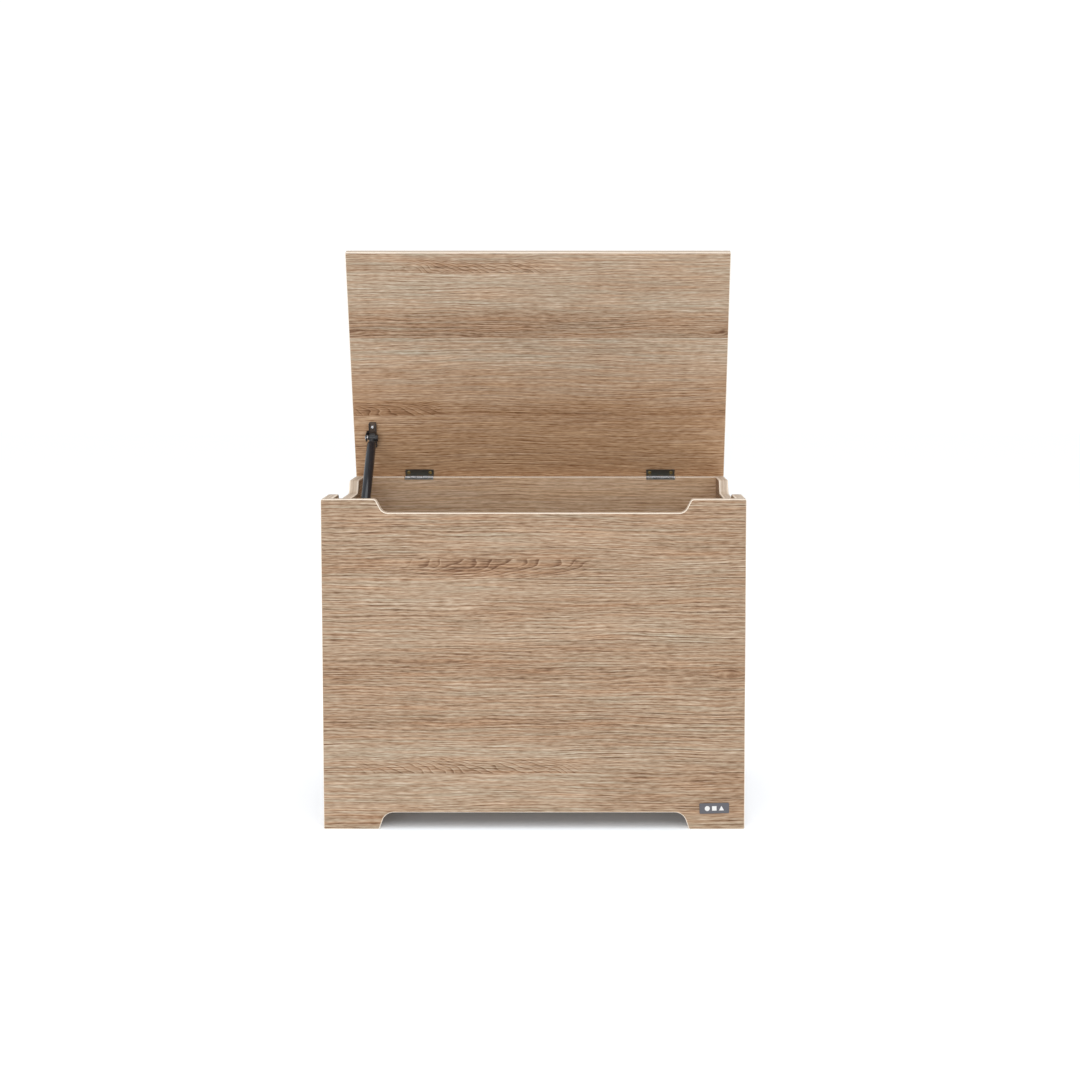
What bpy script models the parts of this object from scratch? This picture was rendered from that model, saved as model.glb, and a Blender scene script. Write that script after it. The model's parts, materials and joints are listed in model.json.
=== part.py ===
"""Wooden toy box: five boards joined by cam fittings, and a lid on two butt hinges
that one gas strut holds open.

Metres, +Z up, front towards -Y. The origin is on the floor, under the middle of the
whole object's box with the lid open, which is the rest position.
Moving pieces hang from empties that stand on their joint axes:
lid_pivot (hinge pins), strut_pivot (upper ball) and strut_slide (lower ball).
"""
from math import asin, atan2, cos, hypot, pi, radians, sin

import bmesh
import bpy
from mathutils import Euler, Matrix, Vector

MM = 0.001
GAP = 0.3 * MM                      # clearance between pieces that touch

# Driving dimensions of the carcass
WIDTH = 600 * MM
DEPTH = 374 * MM
RIM_HEIGHT = 472.5 * MM
BOARD = 15 * MM
CORNER_RADIUS = 2 * MM

# Scooped top edge and arched bottom edge, measured from the outer faces
SHOULDER = 73.5 * MM
SCOOP_DROP = 19.5 * MM
SCOOP_RADII = (6 * MM, 13 * MM)
SCOOP_SLOPE = radians(63)
FOOT = 77 * MM
ARCH_RISE = 24.3 * MM
ARCH_RADII = (3 * MM, 17 * MM)
ARCH_SLOPE = radians(70)

# Base board, let into grooves
BASE_THICKNESS = 9 * MM
BASE_UNDERSIDE = 45 * MM
GROOVE_DEPTH = 6 * MM

# Corner fittings: heights of the two cams and of the dowel between them
CAM_HEIGHTS = (95 * MM, 412.5 * MM)
DOWEL_HEIGHT = 250 * MM
CAM_RADIUS = 7.5 * MM
CAM_LENGTH = 12 * MM
CAM_SETBACK = 24 * MM               # from the side board's end to the cam's centre
BOLT_RADIUS = 3.3 * MM
BOLT_GRIP = 11 * MM                 # length screwed into the front or back board
DOWEL_RADIUS = 4 * MM
DOWEL_LENGTH = 30 * MM
DOWEL_GRIP = 10 * MM

# Lid and butt hinges
OPEN_ANGLE = radians(73.5)
RIM_CLEARANCE = 0.6 * MM            # under the closed lid
HINGE_X = 196 * MM
LEAF_LENGTH = 46 * MM
LEAF_WIDTH = 13 * MM
LEAF_THICKNESS = 1.2 * MM
KNUCKLE_RADIUS = 2.4 * MM
KNUCKLE_BORE = 1.3 * MM
KNUCKLES = 5
KNUCKLE_GAP = 0.4 * MM
PIN_RADIUS = 1.0 * MM
HINGE_SCREW_X = 17.3 * MM
HINGE_SCREW_Y = 7.8 * MM

# Gas strut, on the left
STRUT_X = -269 * MM
UPPER_BALL = (-73 * MM, -9.3 * MM)  # from the hinge axis, lid closed: along the lid, up
LOWER_BALL = (-199.5 * MM, -109.9 * MM)
BALL_RADIUS = 5 * MM
SOCKET_RADIUS = 6.5 * MM
SOCKET_END = 13.7 * MM              # from the ball's centre to the socket's mouth
TUBE_RADIUS = 7.5 * MM
TUBE_BORE = 6.2 * MM
TUBE_START = 14 * MM
TUBE_END = 146 * MM
HEAD_LENGTH = 8 * MM                # solid end of the tube
GUIDE_LENGTH = 10 * MM              # rod guide in the tube's open end
PISTON_LENGTH = 8 * MM
THREAD_START = 8.2 * MM             # from the ball's centre to the thread in the socket
ROD_RADIUS = 3 * MM
ROD_TOP = 121 * MM
STUD_RADIUS = 2.2 * MM
BRACKET_THICKNESS = 1.5 * MM
BRACKET_SCREW_REACH = 13 * MM       # from the ball to each bracket screw
EAR_OFFSET = 8.5 * MM               # from the ball's centre to the ear of the lid bracket

# Countersunk screws
SCREW_RADIUS = 1.4 * MM
SCREW_HEAD = 2.8 * MM
SCREW_TAPER = SCREW_HEAD - SCREW_RADIUS
SCREW_CROWN = 0.4 * MM
SCREW_LENGTH = 12 * MM

# Badge on the right foot, stuck on a little crooked
BADGE_SIZE = (42 * MM, 15 * MM, 1 * MM)
BADGE_PLACE = (256.5 * MM, 30.7 * MM)
BADGE_TILT = radians(1.5)

# Places that follow from the dimensions above
AXIS_TO_LID = KNUCKLE_RADIUS + GAP                  # hinge axis to the lid's underside
LID_OVERHANG = (AXIS_TO_LID + BOARD) * sin(OPEN_ANGLE)
BADGE_PROUD = BADGE_SIZE[2] + GAP
FRONT_Y = (BADGE_PROUD - DEPTH - LID_OVERHANG) / 2
BACK_Y = FRONT_Y + DEPTH
AXIS_Z = RIM_HEIGHT + RIM_CLEARANCE - AXIS_TO_LID
GAIN_FLOOR = AXIS_Z - KNUCKLE_RADIUS - GAP
INNER_X = WIDTH / 2 - BOARD
MID_BOARD_X = WIDTH / 2 - BOARD / 2

ROUND = 16                          # sides of a turned piece or its bore
FINE = 24                           # sides of the strut's tube and sockets
COARSE = 12                         # sides of screws, pins, dowels and the bores for them
ARC_STEPS = 5
MOUTH_LEFT = (0, -pi / 2, 0)        # turns a piece's +Z to -X, towards the left side board


# ---------------------------------------------------------------- tools

def clear_scene():
    for thing in list(bpy.data.objects):
        bpy.data.objects.remove(thing, do_unlink=True)


def make_material(name, colour, roughness, metallic=0.0):
    material = bpy.data.materials.new(name)
    material.use_nodes = True
    shader = material.node_tree.nodes["Principled BSDF"]
    shader.inputs["Base Color"].default_value = (*colour, 1.0)
    shader.inputs["Roughness"].default_value = roughness
    shader.inputs["Metallic"].default_value = metallic
    material.diffuse_color = (*colour, 1.0)
    return material


def add_empty(name, location, turn=0.0, parent=None):
    empty = bpy.data.objects.new(name, None)
    empty.location = location
    empty.rotation_euler.x = turn
    empty.parent = parent
    bpy.context.collection.objects.link(empty)
    return empty


def add_object(name, bm, finish, location=(0, 0, 0), rotation=(0, 0, 0), parent=None):
    """Link the mesh as an object with a material of its own."""
    bmesh.ops.recalc_face_normals(bm, faces=bm.faces)
    mesh = bpy.data.meshes.new(name)
    bm.to_mesh(mesh)
    bm.free()
    mesh.shade_smooth()
    mesh.set_sharp_from_angle(angle=radians(35))
    thing = bpy.data.objects.new(name, mesh)
    thing.location = location
    thing.rotation_euler = rotation
    thing.parent = parent
    if finish:
        mesh.materials.append(make_material(name + "_finish", *finish))
    bpy.context.collection.objects.link(thing)
    return thing


def shape_with(target, name, bm, operation="DIFFERENCE", **placing):
    """Cut a helper solid out of the target, or join it on."""
    helper = add_object(name, bm, None, **placing)
    helper.hide_render = True
    helper.display_type = "WIRE"
    modifier = target.modifiers.new(name, "BOOLEAN")
    modifier.operation = operation
    modifier.solver = "EXACT"
    modifier.object = helper


def box(low, high):
    bm = bmesh.new()
    add_box(bm, low, high)
    return bm


def add_box(bm, low, high):
    size = [b - a for a, b in zip(low, high)]
    middle = [(a + b) / 2 for a, b in zip(low, high)]
    matrix = Matrix.Translation(middle) @ Matrix.Diagonal((*size, 1.0))
    bmesh.ops.create_cube(bm, size=1.0, matrix=matrix)


def rods(bores, radius, sides=ROUND):
    """Separate cylinders of one radius, each given by its two ends."""
    bm = bmesh.new()
    for start, end in bores:
        start, end = Vector(start), Vector(end)
        along = end - start
        matrix = Matrix.Translation((start + end) / 2) @ along.to_track_quat("Z", "Y").to_matrix().to_4x4()
        bmesh.ops.create_cone(bm, cap_ends=True, segments=sides, radius1=radius, radius2=radius,
                              depth=along.length, matrix=matrix)
    return bm


def gather(pieces):
    """Join pairs of a mesh and its placing matrix into one mesh."""
    whole = bmesh.new()
    for piece, matrix in pieces:
        bmesh.ops.transform(piece, matrix=matrix, verts=piece.verts)
        bmesh.ops.recalc_face_normals(piece, faces=piece.faces)
        carrier = bpy.data.meshes.new("carrier")
        piece.to_mesh(carrier)
        piece.free()
        whole.from_mesh(carrier)
        bpy.data.meshes.remove(carrier)
    return whole


def turned(profile, sides=ROUND):
    """Turn a profile of (radius, height) points round Z; it starts and ends on the axis."""
    bm = bmesh.new()
    rings = []
    for radius, height in profile:
        angles = [0] if radius == 0 else [2 * pi * i / sides for i in range(sides)]
        rings.append([bm.verts.new((radius * cos(a), radius * sin(a), height)) for a in angles])
    for below, above in zip(rings, rings[1:]):
        for i in range(sides):
            corners = [below[i % len(below)], below[(i + 1) % len(below)],
                       above[(i + 1) % len(above)], above[i % len(above)]]
            bm.faces.new(list(dict.fromkeys(corners)))
    return bm


def prism(outline, thickness, thick_axis):
    """Extrude an outline along X or Y, or along Z for an outline in X and Y."""
    order = {"X": lambda u, v, w: (w, u, v), "Y": lambda u, v, w: (u, w, v), "Z": lambda u, v, w: (u, v, w)}
    place = order[thick_axis]
    bm = bmesh.new()
    near = [bm.verts.new(place(u, v, 0)) for u, v in outline]
    far = [bm.verts.new(place(u, v, thickness)) for u, v in outline]
    bm.faces.new(near)
    bm.faces.new(list(reversed(far)))
    for i in range(len(outline)):
        j = (i + 1) % len(outline)
        bm.faces.new((near[i], far[i], far[j], near[j]))
    return bm


def arc(centre, radius, start, end, steps=ARC_STEPS):
    return [(centre[0] + radius * cos(start + (end - start) * i / steps),
             centre[1] + radius * sin(start + (end - start) * i / steps)) for i in range(steps + 1)]


# ---------------------------------------------------------------- boards

def s_step(start, rise, radii, slope):
    """An S-shaped step towards the middle of a board: arc, straight slope, arc."""
    first, last = radii
    u0, v0 = start
    side = 1 if rise > 0 else -1
    bend = 1 - cos(slope)
    straight = (abs(rise) - (first + last) * bend) / sin(slope)
    u1 = u0 - (first + last) * sin(slope) - straight * cos(slope)
    v1 = v0 + rise
    turns = [slope * i / ARC_STEPS for i in range(ARC_STEPS + 1)]
    leaving = [(u0 - first * sin(a), v0 + side * first * (1 - cos(a))) for a in turns]
    landing = [(u1 + last * sin(a), v1 - side * last * (1 - cos(a))) for a in reversed(turns)]
    return leaving + landing


def board_outline(half_width, foot, shoulder=None, corner=0.0):
    """A board's outline, symmetrical about u = 0, anticlockwise from the arch's right end."""
    arch = s_step((half_width - foot, 0), ARCH_RISE, ARCH_RADII, ARCH_SLOPE)
    right = list(reversed(arch))
    if corner:
        right += arc((half_width - corner, corner), corner, -pi / 2, 0, 3)
        right += arc((half_width - corner, RIM_HEIGHT - corner), corner, 0, pi / 2, 3)
    else:
        right += [(half_width, 0), (half_width, RIM_HEIGHT)]
    if shoulder:
        right += s_step((half_width - shoulder, RIM_HEIGHT), -SCOOP_DROP, SCOOP_RADII, SCOOP_SLOPE)
    return right + [(-u, v) for u, v in reversed(right)]


def corner_bores(side, end):
    """Bores that run along Y through one upright corner: cam bolts, then the dowel."""
    face = FRONT_Y + BOARD if end < 0 else BACK_Y - BOARD
    x = side * MID_BOARD_X
    slack = GAP * 2
    bolts = [((x, face + end * (BOLT_GRIP + slack), z), (x, face - end * (CAM_SETBACK + GAP), z))
             for z in CAM_HEIGHTS]
    dowel = ((x, face + end * (DOWEL_GRIP + slack), DOWEL_HEIGHT),
             (x, face - end * (DOWEL_LENGTH - DOWEL_GRIP + slack), DOWEL_HEIGHT))
    return bolts, dowel


def bore_corners(board, sides, ends):
    """Drill one board for the fittings of its corners."""
    corners = [corner_bores(side, end) for side in sides for end in ends]
    bolt_bores = [bore for bolts, _ in corners for bore in bolts]
    shape_with(board, board.name + "_bolt_bores", rods(bolt_bores, BOLT_RADIUS + GAP, COARSE))
    dowel_bores = [dowel for _, dowel in corners]
    shape_with(board, board.name + "_dowel_bores", rods(dowel_bores, DOWEL_RADIUS + GAP, COARSE))


def groove_box(axis, face, towards):
    """The base's groove in the board whose inner face is at the given place."""
    low = [-INNER_X - GROOVE_DEPTH, FRONT_Y + BOARD - GROOVE_DEPTH, BASE_UNDERSIDE - GAP]
    high = [INNER_X + GROOVE_DEPTH, BACK_Y - BOARD + GROOVE_DEPTH, BASE_UNDERSIDE + BASE_THICKNESS + GAP]
    if axis == 0:
        low[1] -= BOARD
        high[1] += BOARD
    edges = sorted((face - towards * 2 * MM, face + towards * GROOVE_DEPTH))
    low[axis], high[axis] = edges
    return box(low, high)


def build_front(oak):
    outline = board_outline(WIDTH / 2, FOOT, SHOULDER, CORNER_RADIUS)
    front = add_object("front_panel", prism(outline, BOARD, "Y"), oak, (0, FRONT_Y, 0))
    shape_with(front, "front_groove", groove_box(1, FRONT_Y + BOARD, -1))
    bore_corners(front, (-1, 1), (-1,))


def build_back(oak):
    outline = board_outline(WIDTH / 2, FOOT, None, CORNER_RADIUS)
    back = add_object("back_panel", prism(outline, BOARD, "Y"), oak, (0, BACK_Y - BOARD, 0))
    shape_with(back, "back_groove", groove_box(1, BACK_Y - BOARD, 1))
    bore_corners(back, (-1, 1), (1,))
    gains = bmesh.new()
    reach = LEAF_LENGTH / 2 + 0.5 * MM
    for x in (-HINGE_X, HINGE_X):
        low = (x - reach, BACK_Y - BOARD - MM, GAIN_FLOOR)
        high = (x + reach, BACK_Y + MM, RIM_HEIGHT + MM)
        add_box(gains, low, high)
    shape_with(back, "hinge_gains", gains)
    return back


def build_side(name, side, oak):
    inset = BOARD + GAP
    outline = board_outline(DEPTH / 2 - inset, FOOT - inset, SHOULDER - inset)
    outer = side * WIDTH / 2
    place = (min(outer, outer - side * BOARD), (FRONT_Y + BACK_Y) / 2, 0)
    board = add_object(name, prism(outline, BOARD, "X"), oak, place)
    shape_with(board, name + "_groove", groove_box(0, side * INNER_X, side))
    bore_corners(board, (side,), (-1, 1))
    pockets = []
    for y in cam_rows():
        for z in CAM_HEIGHTS:
            pockets.append(((side * (INNER_X - MM), y, z), (side * (INNER_X + CAM_LENGTH + 2 * GAP), y, z)))
    shape_with(board, name + "_cam_pockets", rods(pockets, CAM_RADIUS + GAP))
    return board


def build_base(oak):
    reach = GROOVE_DEPTH - GAP
    low = (-INNER_X - reach, FRONT_Y + BOARD - reach, BASE_UNDERSIDE)
    high = (INNER_X + reach, BACK_Y - BOARD + reach, BASE_UNDERSIDE + BASE_THICKNESS)
    add_object("base_panel", box(low, high), oak)


# ---------------------------------------------------------------- corner fittings

def cam_rows():
    """The cams' places along Y, front and back."""
    return (FRONT_Y + BOARD + GAP + CAM_SETBACK, BACK_Y - BOARD - GAP - CAM_SETBACK)


def cam_bolt_mesh():
    """Screwed end at the origin, head at the cam's centre, along +Z."""
    centre = BOLT_GRIP + GAP + CAM_SETBACK
    shank, neck, neck_length = 2.9 * MM, 1.8 * MM, 6 * MM
    return turned([(0, 0), (BOLT_RADIUS - 0.6 * MM, 0), (BOLT_RADIUS, MM), (BOLT_RADIUS, BOLT_GRIP),
                   (shank, BOLT_GRIP + MM), (shank, centre - neck_length - MM),
                   (neck, centre - neck_length), (neck, centre - MM), (shank, centre),
                   (shank, centre + 1.5 * MM), (0, centre + 2 * MM)], COARSE)


def cam_lock_mesh():
    """Face at the origin, along +Z into the board; the slot for the bolt opens to -Y."""
    rim = CAM_RADIUS - 0.5 * MM
    return turned([(0, 0), (rim, 0), (CAM_RADIUS, 0.5 * MM), (CAM_RADIUS, CAM_LENGTH), (0, CAM_LENGTH)])


def dowel_mesh():
    tip = DOWEL_RADIUS - MM
    return turned([(0, 0), (tip, 0), (DOWEL_RADIUS, MM), (DOWEL_RADIUS, DOWEL_LENGTH - MM),
                   (tip, DOWEL_LENGTH), (0, DOWEL_LENGTH)], COARSE)


def build_corner(name, side, end, zinc, beech):
    """Two cam bolts, two cam locks and a dowel where a side board meets the front or back."""
    face = FRONT_Y + BOARD if end < 0 else BACK_Y - BOARD
    x = side * MID_BOARD_X
    inwards = (-pi / 2, 0, 0) if end < 0 else (pi / 2, 0, 0)
    cam_y = cam_rows()[0 if end < 0 else 1]
    slot_reach = 3.3 * MM
    for level, z in zip(("lower", "upper"), CAM_HEIGHTS):
        add_object(f"cam_bolt_{name}_{level}", cam_bolt_mesh(), zinc,
                   (x, face + end * BOLT_GRIP, z), inwards)
        cam = add_object(f"cam_lock_{name}_{level}", cam_lock_mesh(), zinc,
                         (side * INNER_X, cam_y, z), (0, side * pi / 2, 0))
        ends = sorted((cam_y - end * slot_reach, cam_y + end * (CAM_RADIUS + MM)))
        slot = box((x - slot_reach, ends[0], z - slot_reach), (x + slot_reach, ends[1], z + slot_reach))
        shape_with(cam, cam.name + "_slot", slot)
    add_object("dowel_" + name, dowel_mesh(), beech, (x, face + end * DOWEL_GRIP, DOWEL_HEIGHT), inwards)


# ---------------------------------------------------------------- screws

def screw_mesh():
    """Countersunk screw: the plate's surface is at the origin, the point goes down -Z."""
    return turned([(0, SCREW_CROWN), (SCREW_HEAD * 0.6, SCREW_CROWN * 0.8), (SCREW_HEAD, 0),
                   (SCREW_RADIUS, -SCREW_TAPER), (SCREW_RADIUS, 2 * MM - SCREW_LENGTH), (0, -SCREW_LENGTH)],
                  COARSE)


def sink_mesh():
    """The countersunk clearance hole that a screw needs in its plate."""
    lift, hole = 0.5 * MM, SCREW_RADIUS + GAP
    through = -3 * MM
    return turned([(0, lift), (SCREW_HEAD + GAP + lift, lift), (hole, -SCREW_TAPER), (hole, through),
                   (0, through)], COARSE)


def pilot_mesh():
    """The screw's hole in the board under its plate."""
    hole, top, bottom = SCREW_RADIUS + GAP, -1.3 * MM, -SCREW_LENGTH - 0.5 * MM
    return turned([(0, top), (hole, top), (hole, bottom), (0, bottom)], COARSE)


def fasten(name, plate, board, spots, turn, finish, parent=None):
    """Screw a plate to a board: holes in both, and a screw at each spot on the plate's surface."""
    frames = [Matrix.Translation(spot) @ Euler(turn).to_matrix().to_4x4() for spot in spots]
    shape_with(plate, name + "_sinks", gather([(sink_mesh(), frame) for frame in frames]), parent=parent)
    shape_with(board, name + "_pilots", gather([(pilot_mesh(), frame) for frame in frames]), parent=parent)
    for number, spot in enumerate(spots, 1):
        add_object(f"{name}_screw_{number}", screw_mesh(), finish, spot, turn, parent)


# ---------------------------------------------------------------- badge

def build_badge(finish):
    width, height, thickness = BADGE_SIZE
    corner = 1.5 * MM
    corners = [(1, 1, 0), (-1, 1, 1), (-1, -1, 2), (1, -1, 3)]
    outline = []
    for u, v, quarter in corners:
        centre = (u * (width / 2 - corner), v * (height / 2 - corner))
        outline += arc(centre, corner, quarter * pi / 2, (quarter + 1) * pi / 2, 3)
    add_object("badge_plate", prism(outline, thickness, "Y"), finish,
               (BADGE_PLACE[0], FRONT_Y - BADGE_PROUD, BADGE_PLACE[1]), (0, -BADGE_TILT, 0))


# ---------------------------------------------------------------- lid and hinges

def build_lid(oak, pivot):
    low = (-WIDTH / 2, -DEPTH, AXIS_TO_LID)
    high = (WIDTH / 2, 0, AXIS_TO_LID + BOARD)
    return add_object("lid_panel", box(low, high), oak, parent=pivot)


def knuckle_spans():
    """Start and end of each knuckle along the hinge."""
    length = (LEAF_LENGTH - (KNUCKLES - 1) * KNUCKLE_GAP) / KNUCKLES
    starts = [i * (length + KNUCKLE_GAP) for i in range(KNUCKLES)]
    return [(start, start + length) for start in starts]


def leaf_outline(side):
    """Section of a leaf whose end is rolled round the pin; side is +1 above the pin, -1 below."""
    under = KNUCKLE_RADIUS - LEAF_THICKNESS
    meet = -pi - asin(under / KNUCKLE_RADIUS)
    roll = arc((0, 0), KNUCKLE_RADIUS, pi / 2, meet, 12)
    return [(y, side * z) for y, z in [(-LEAF_WIDTH, KNUCKLE_RADIUS)] + roll + [(-LEAF_WIDTH, under)]]


def build_leaf(name, x, side, steel, parent, place=(0, 0, 0)):
    """A hinge leaf round the hinge axis, with notches for the other leaf's knuckles."""
    left = x - LEAF_LENGTH / 2
    leaf = add_object(name, prism(leaf_outline(side), LEAF_LENGTH, "X"), steel,
                      (left + place[0], place[1], place[2]), parent=parent)
    others = knuckle_spans()[0::2] if side > 0 else knuckle_spans()[1::2]
    notches = bmesh.new()
    reach = KNUCKLE_RADIUS + MM
    for start, end in others:
        low = (start - KNUCKLE_GAP, -KNUCKLE_RADIUS - GAP, -reach)
        add_box(notches, low, (end + KNUCKLE_GAP, reach, reach))
    shape_with(leaf, name + "_notches", notches, location=leaf.location, parent=parent)
    bore = rods([((-MM, 0, 0), (LEAF_LENGTH + MM, 0, 0))], KNUCKLE_BORE, COARSE)
    shape_with(leaf, name + "_bore", bore, location=leaf.location, parent=parent)
    return leaf


def build_hinge(name, x, lid, back, steel, brass, pivot):
    """A butt hinge: one leaf under the lid, one in the gain of the back panel, and the pin."""
    surface = KNUCKLE_RADIUS - LEAF_THICKNESS
    screw_xs = (x - HINGE_SCREW_X, x + HINGE_SCREW_X)
    lid_leaf = build_leaf(name + "_lid_leaf", x, 1, steel, pivot)
    lid_spots = [(screw_x, -HINGE_SCREW_Y, surface) for screw_x in screw_xs]
    fasten(name + "_lid", lid_leaf, lid, lid_spots, (pi, 0, 0), brass, pivot)
    back_leaf = build_leaf(name + "_back_leaf", x, -1, steel, None, (0, BACK_Y, AXIS_Z))
    back_spots = [(screw_x, BACK_Y - HINGE_SCREW_Y, AXIS_Z - surface) for screw_x in screw_xs]
    fasten(name + "_back", back_leaf, back, back_spots, (0, 0, 0), brass)
    tip = 0.3 * MM
    pin = turned([(0, 0), (PIN_RADIUS - tip, 0), (PIN_RADIUS, tip), (PIN_RADIUS, LEAF_LENGTH - tip),
                  (PIN_RADIUS - tip, LEAF_LENGTH), (0, LEAF_LENGTH)], COARSE)
    add_object(name + "_pin", pin, steel, (x - LEAF_LENGTH / 2, BACK_Y, AXIS_Z), (0, pi / 2, 0))


# ---------------------------------------------------------------- gas strut

def build_socket(name, finish, parent, turn=0.0):
    """A plastic ball socket: housing, neck along +Z, ball seat open to the left, threaded bore."""
    placing = {"parent": parent, "rotation": (turn, 0, 0)}
    housing = rods([((-4.5 * MM, 0, 0), (SOCKET_RADIUS, 0, 0))], SOCKET_RADIUS, FINE)
    socket = add_object(name, housing, finish, **placing)
    neck_radius, mouth = 4.5 * MM, 4.2 * MM
    neck = rods([((0, 0, 0), (0, 0, SOCKET_END))], neck_radius)
    shape_with(socket, name + "_neck", neck, "UNION", **placing)
    seat_radius, outside = BALL_RADIUS + GAP, SOCKET_RADIUS + 0.5 * MM
    steps = 8
    angles = [(pi - asin(mouth / seat_radius)) * i / steps for i in range(1, steps + 1)]
    bowl = [(seat_radius * sin(a), -seat_radius * cos(a)) for a in angles]
    seat = turned([(0, -seat_radius)] + bowl + [(mouth, outside), (0, outside)])
    shape_with(socket, name + "_seat", seat, parent=parent, rotation=MOUTH_LEFT)
    bore = rods([((0, 0, THREAD_START - 0.7 * MM), (0, 0, SOCKET_END + MM))], STUD_RADIUS + GAP, COARSE)
    shape_with(socket, name + "_bore", bore, **placing)


def ball_stud_mesh(tail):
    """A ball at the origin on a neck along +Z that goes on into the given (radius, height) points."""
    steps = 7
    angles = [(pi - asin(STUD_RADIUS / BALL_RADIUS)) * i / steps for i in range(1, steps + 1)]
    ball = [(BALL_RADIUS * sin(a), -BALL_RADIUS * cos(a)) for a in angles]
    return turned([(0, -BALL_RADIUS)] + ball + tail)


def build_lid_bracket(lid, plated, brass, pivot):
    """The strut's upper bracket: a strip under the lid with an ear bent down at its left."""
    ball_y, ball_z = UPPER_BALL
    top = AXIS_TO_LID - GAP
    low = top - BRACKET_THICKNESS
    reach, half = 22 * MM, 6 * MM
    bracket = add_object("strut_lid_bracket",
                         box((STRUT_X - half, ball_y - reach, low), (STRUT_X + half, ball_y + reach, top)),
                         plated, parent=pivot)
    inset = 0.1 * MM
    ear_half, ear_x = 7 * MM, STRUT_X - EAR_OFFSET
    tab = box((ear_x - BRACKET_THICKNESS / 2, ball_y - ear_half + inset, low + inset),
              (STRUT_X, ball_y + ear_half - inset, top - inset))
    shape_with(bracket, "lid_bracket_tab", tab, "UNION", parent=pivot)
    ear = [(ball_y + ear_half, top - 2 * inset), (ball_y - ear_half, top - 2 * inset)]
    ear += arc((ball_y, ball_z), ear_half, pi, 2 * pi, 8)
    shape_with(bracket, "lid_bracket_ear", prism(ear, BRACKET_THICKNESS, "X"), "UNION",
               location=(ear_x - BRACKET_THICKNESS, 0, 0), parent=pivot)
    hole = rods([((ear_x - 3 * MM, ball_y, ball_z), (ear_x + MM, ball_y, ball_z))], STUD_RADIUS, COARSE)
    shape_with(bracket, "lid_bracket_hole", hole, parent=pivot)
    spots = [(STRUT_X, ball_y + step, low) for step in (-BRACKET_SCREW_REACH, BRACKET_SCREW_REACH)]
    fasten("strut_lid_bracket", bracket, lid, spots, (pi, 0, 0), brass, pivot)


def build_side_bracket(side_board, place, plated, brass):
    """The strut's lower bracket: a plate with round ends on the side board's inner face."""
    half_height, half_width = 15 * MM, 7 * MM
    outline = arc((0, half_height), half_width, 0, pi, 8)
    outline += arc((0, -half_height), half_width, pi, 2 * pi, 8)
    left = -INNER_X + GAP
    plate = add_object("strut_side_bracket", prism(outline, BRACKET_THICKNESS, "X"), plated, (left, *place))
    surface = left + BRACKET_THICKNESS
    spots = [(surface, place[0], place[1] + step) for step in (-BRACKET_SCREW_REACH, BRACKET_SCREW_REACH)]
    fasten("strut_side_bracket", plate, side_board, spots, (0, pi / 2, 0), brass)


def build_strut(lid, left_side, finishes, pivot):
    """Tube and rod between two ball studs, drawn out to full length by the open lid."""
    plated, brass, black, chrome = finishes
    ball_y, ball_z = UPPER_BALL
    reach_y = LOWER_BALL[0] - (ball_y * cos(OPEN_ANGLE) + ball_z * sin(OPEN_ANGLE))
    reach_z = LOWER_BALL[1] - (ball_z * cos(OPEN_ANGLE) - ball_y * sin(OPEN_ANGLE))
    length = hypot(reach_y, reach_z)
    upper_ball = (STRUT_X, ball_y, ball_z)
    strut_pivot = add_empty("strut_pivot", upper_ball, atan2(-reach_y, reach_z) + OPEN_ANGLE, pivot)
    strut_slide = add_empty("strut_slide", (0, 0, length), 0.0, strut_pivot)

    build_lid_bracket(lid, plated, brass, pivot)
    build_side_bracket(left_side, (BACK_Y + LOWER_BALL[0], AXIS_Z + LOWER_BALL[1]), plated, brass)

    collar = EAR_OFFSET - GAP
    rivet = EAR_OFFSET + BRACKET_THICKNESS + GAP
    shank = STUD_RADIUS - GAP
    upper_tail = [(STUD_RADIUS, collar - 1.5 * MM), (3.8 * MM, collar - 1.2 * MM), (3.8 * MM, collar),
                  (shank, collar), (shank, rivet), (3.5 * MM, rivet), (2.5 * MM, rivet + 1.2 * MM),
                  (0, rivet + 1.2 * MM)]
    add_object("strut_upper_stud", ball_stud_mesh(upper_tail), chrome, upper_ball, MOUTH_LEFT, pivot)
    foot = INNER_X + STRUT_X - 2 * GAP - BRACKET_THICKNESS
    lower_tail = [(STUD_RADIUS, foot - 2.9 * MM), (4.5 * MM, foot - 2.6 * MM), (4.5 * MM, foot), (0, foot)]
    add_object("strut_lower_stud", ball_stud_mesh(lower_tail), chrome, (0, 0, 0), MOUTH_LEFT, strut_slide)

    build_socket("strut_upper_socket", black, strut_pivot)
    build_socket("strut_lower_socket", black, strut_slide, pi)

    edge, guide = MM, TUBE_END - GUIDE_LENGTH
    tube = turned([(0, THREAD_START), (STUD_RADIUS, THREAD_START), (STUD_RADIUS, TUBE_START),
                   (TUBE_RADIUS - edge, TUBE_START), (TUBE_RADIUS, TUBE_START + edge),
                   (TUBE_RADIUS, TUBE_END - edge), (TUBE_RADIUS - edge, TUBE_END),
                   (ROD_RADIUS + GAP, TUBE_END), (ROD_RADIUS + GAP, guide), (TUBE_BORE, guide),
                   (TUBE_BORE, TUBE_START + HEAD_LENGTH), (0, TUBE_START + HEAD_LENGTH)], FINE)
    add_object("strut_tube", tube, black, parent=strut_pivot)
    piston, piston_foot = TUBE_BORE - GAP, ROD_TOP + PISTON_LENGTH
    rod = turned([(0, ROD_TOP), (piston, ROD_TOP), (piston, piston_foot), (ROD_RADIUS, piston_foot),
                  (ROD_RADIUS, length - TUBE_START), (STUD_RADIUS, length - TUBE_START),
                  (STUD_RADIUS, length - THREAD_START), (0, length - THREAD_START)])
    add_object("strut_piston_rod", rod, chrome, (0, 0, -length), parent=strut_slide)


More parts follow.
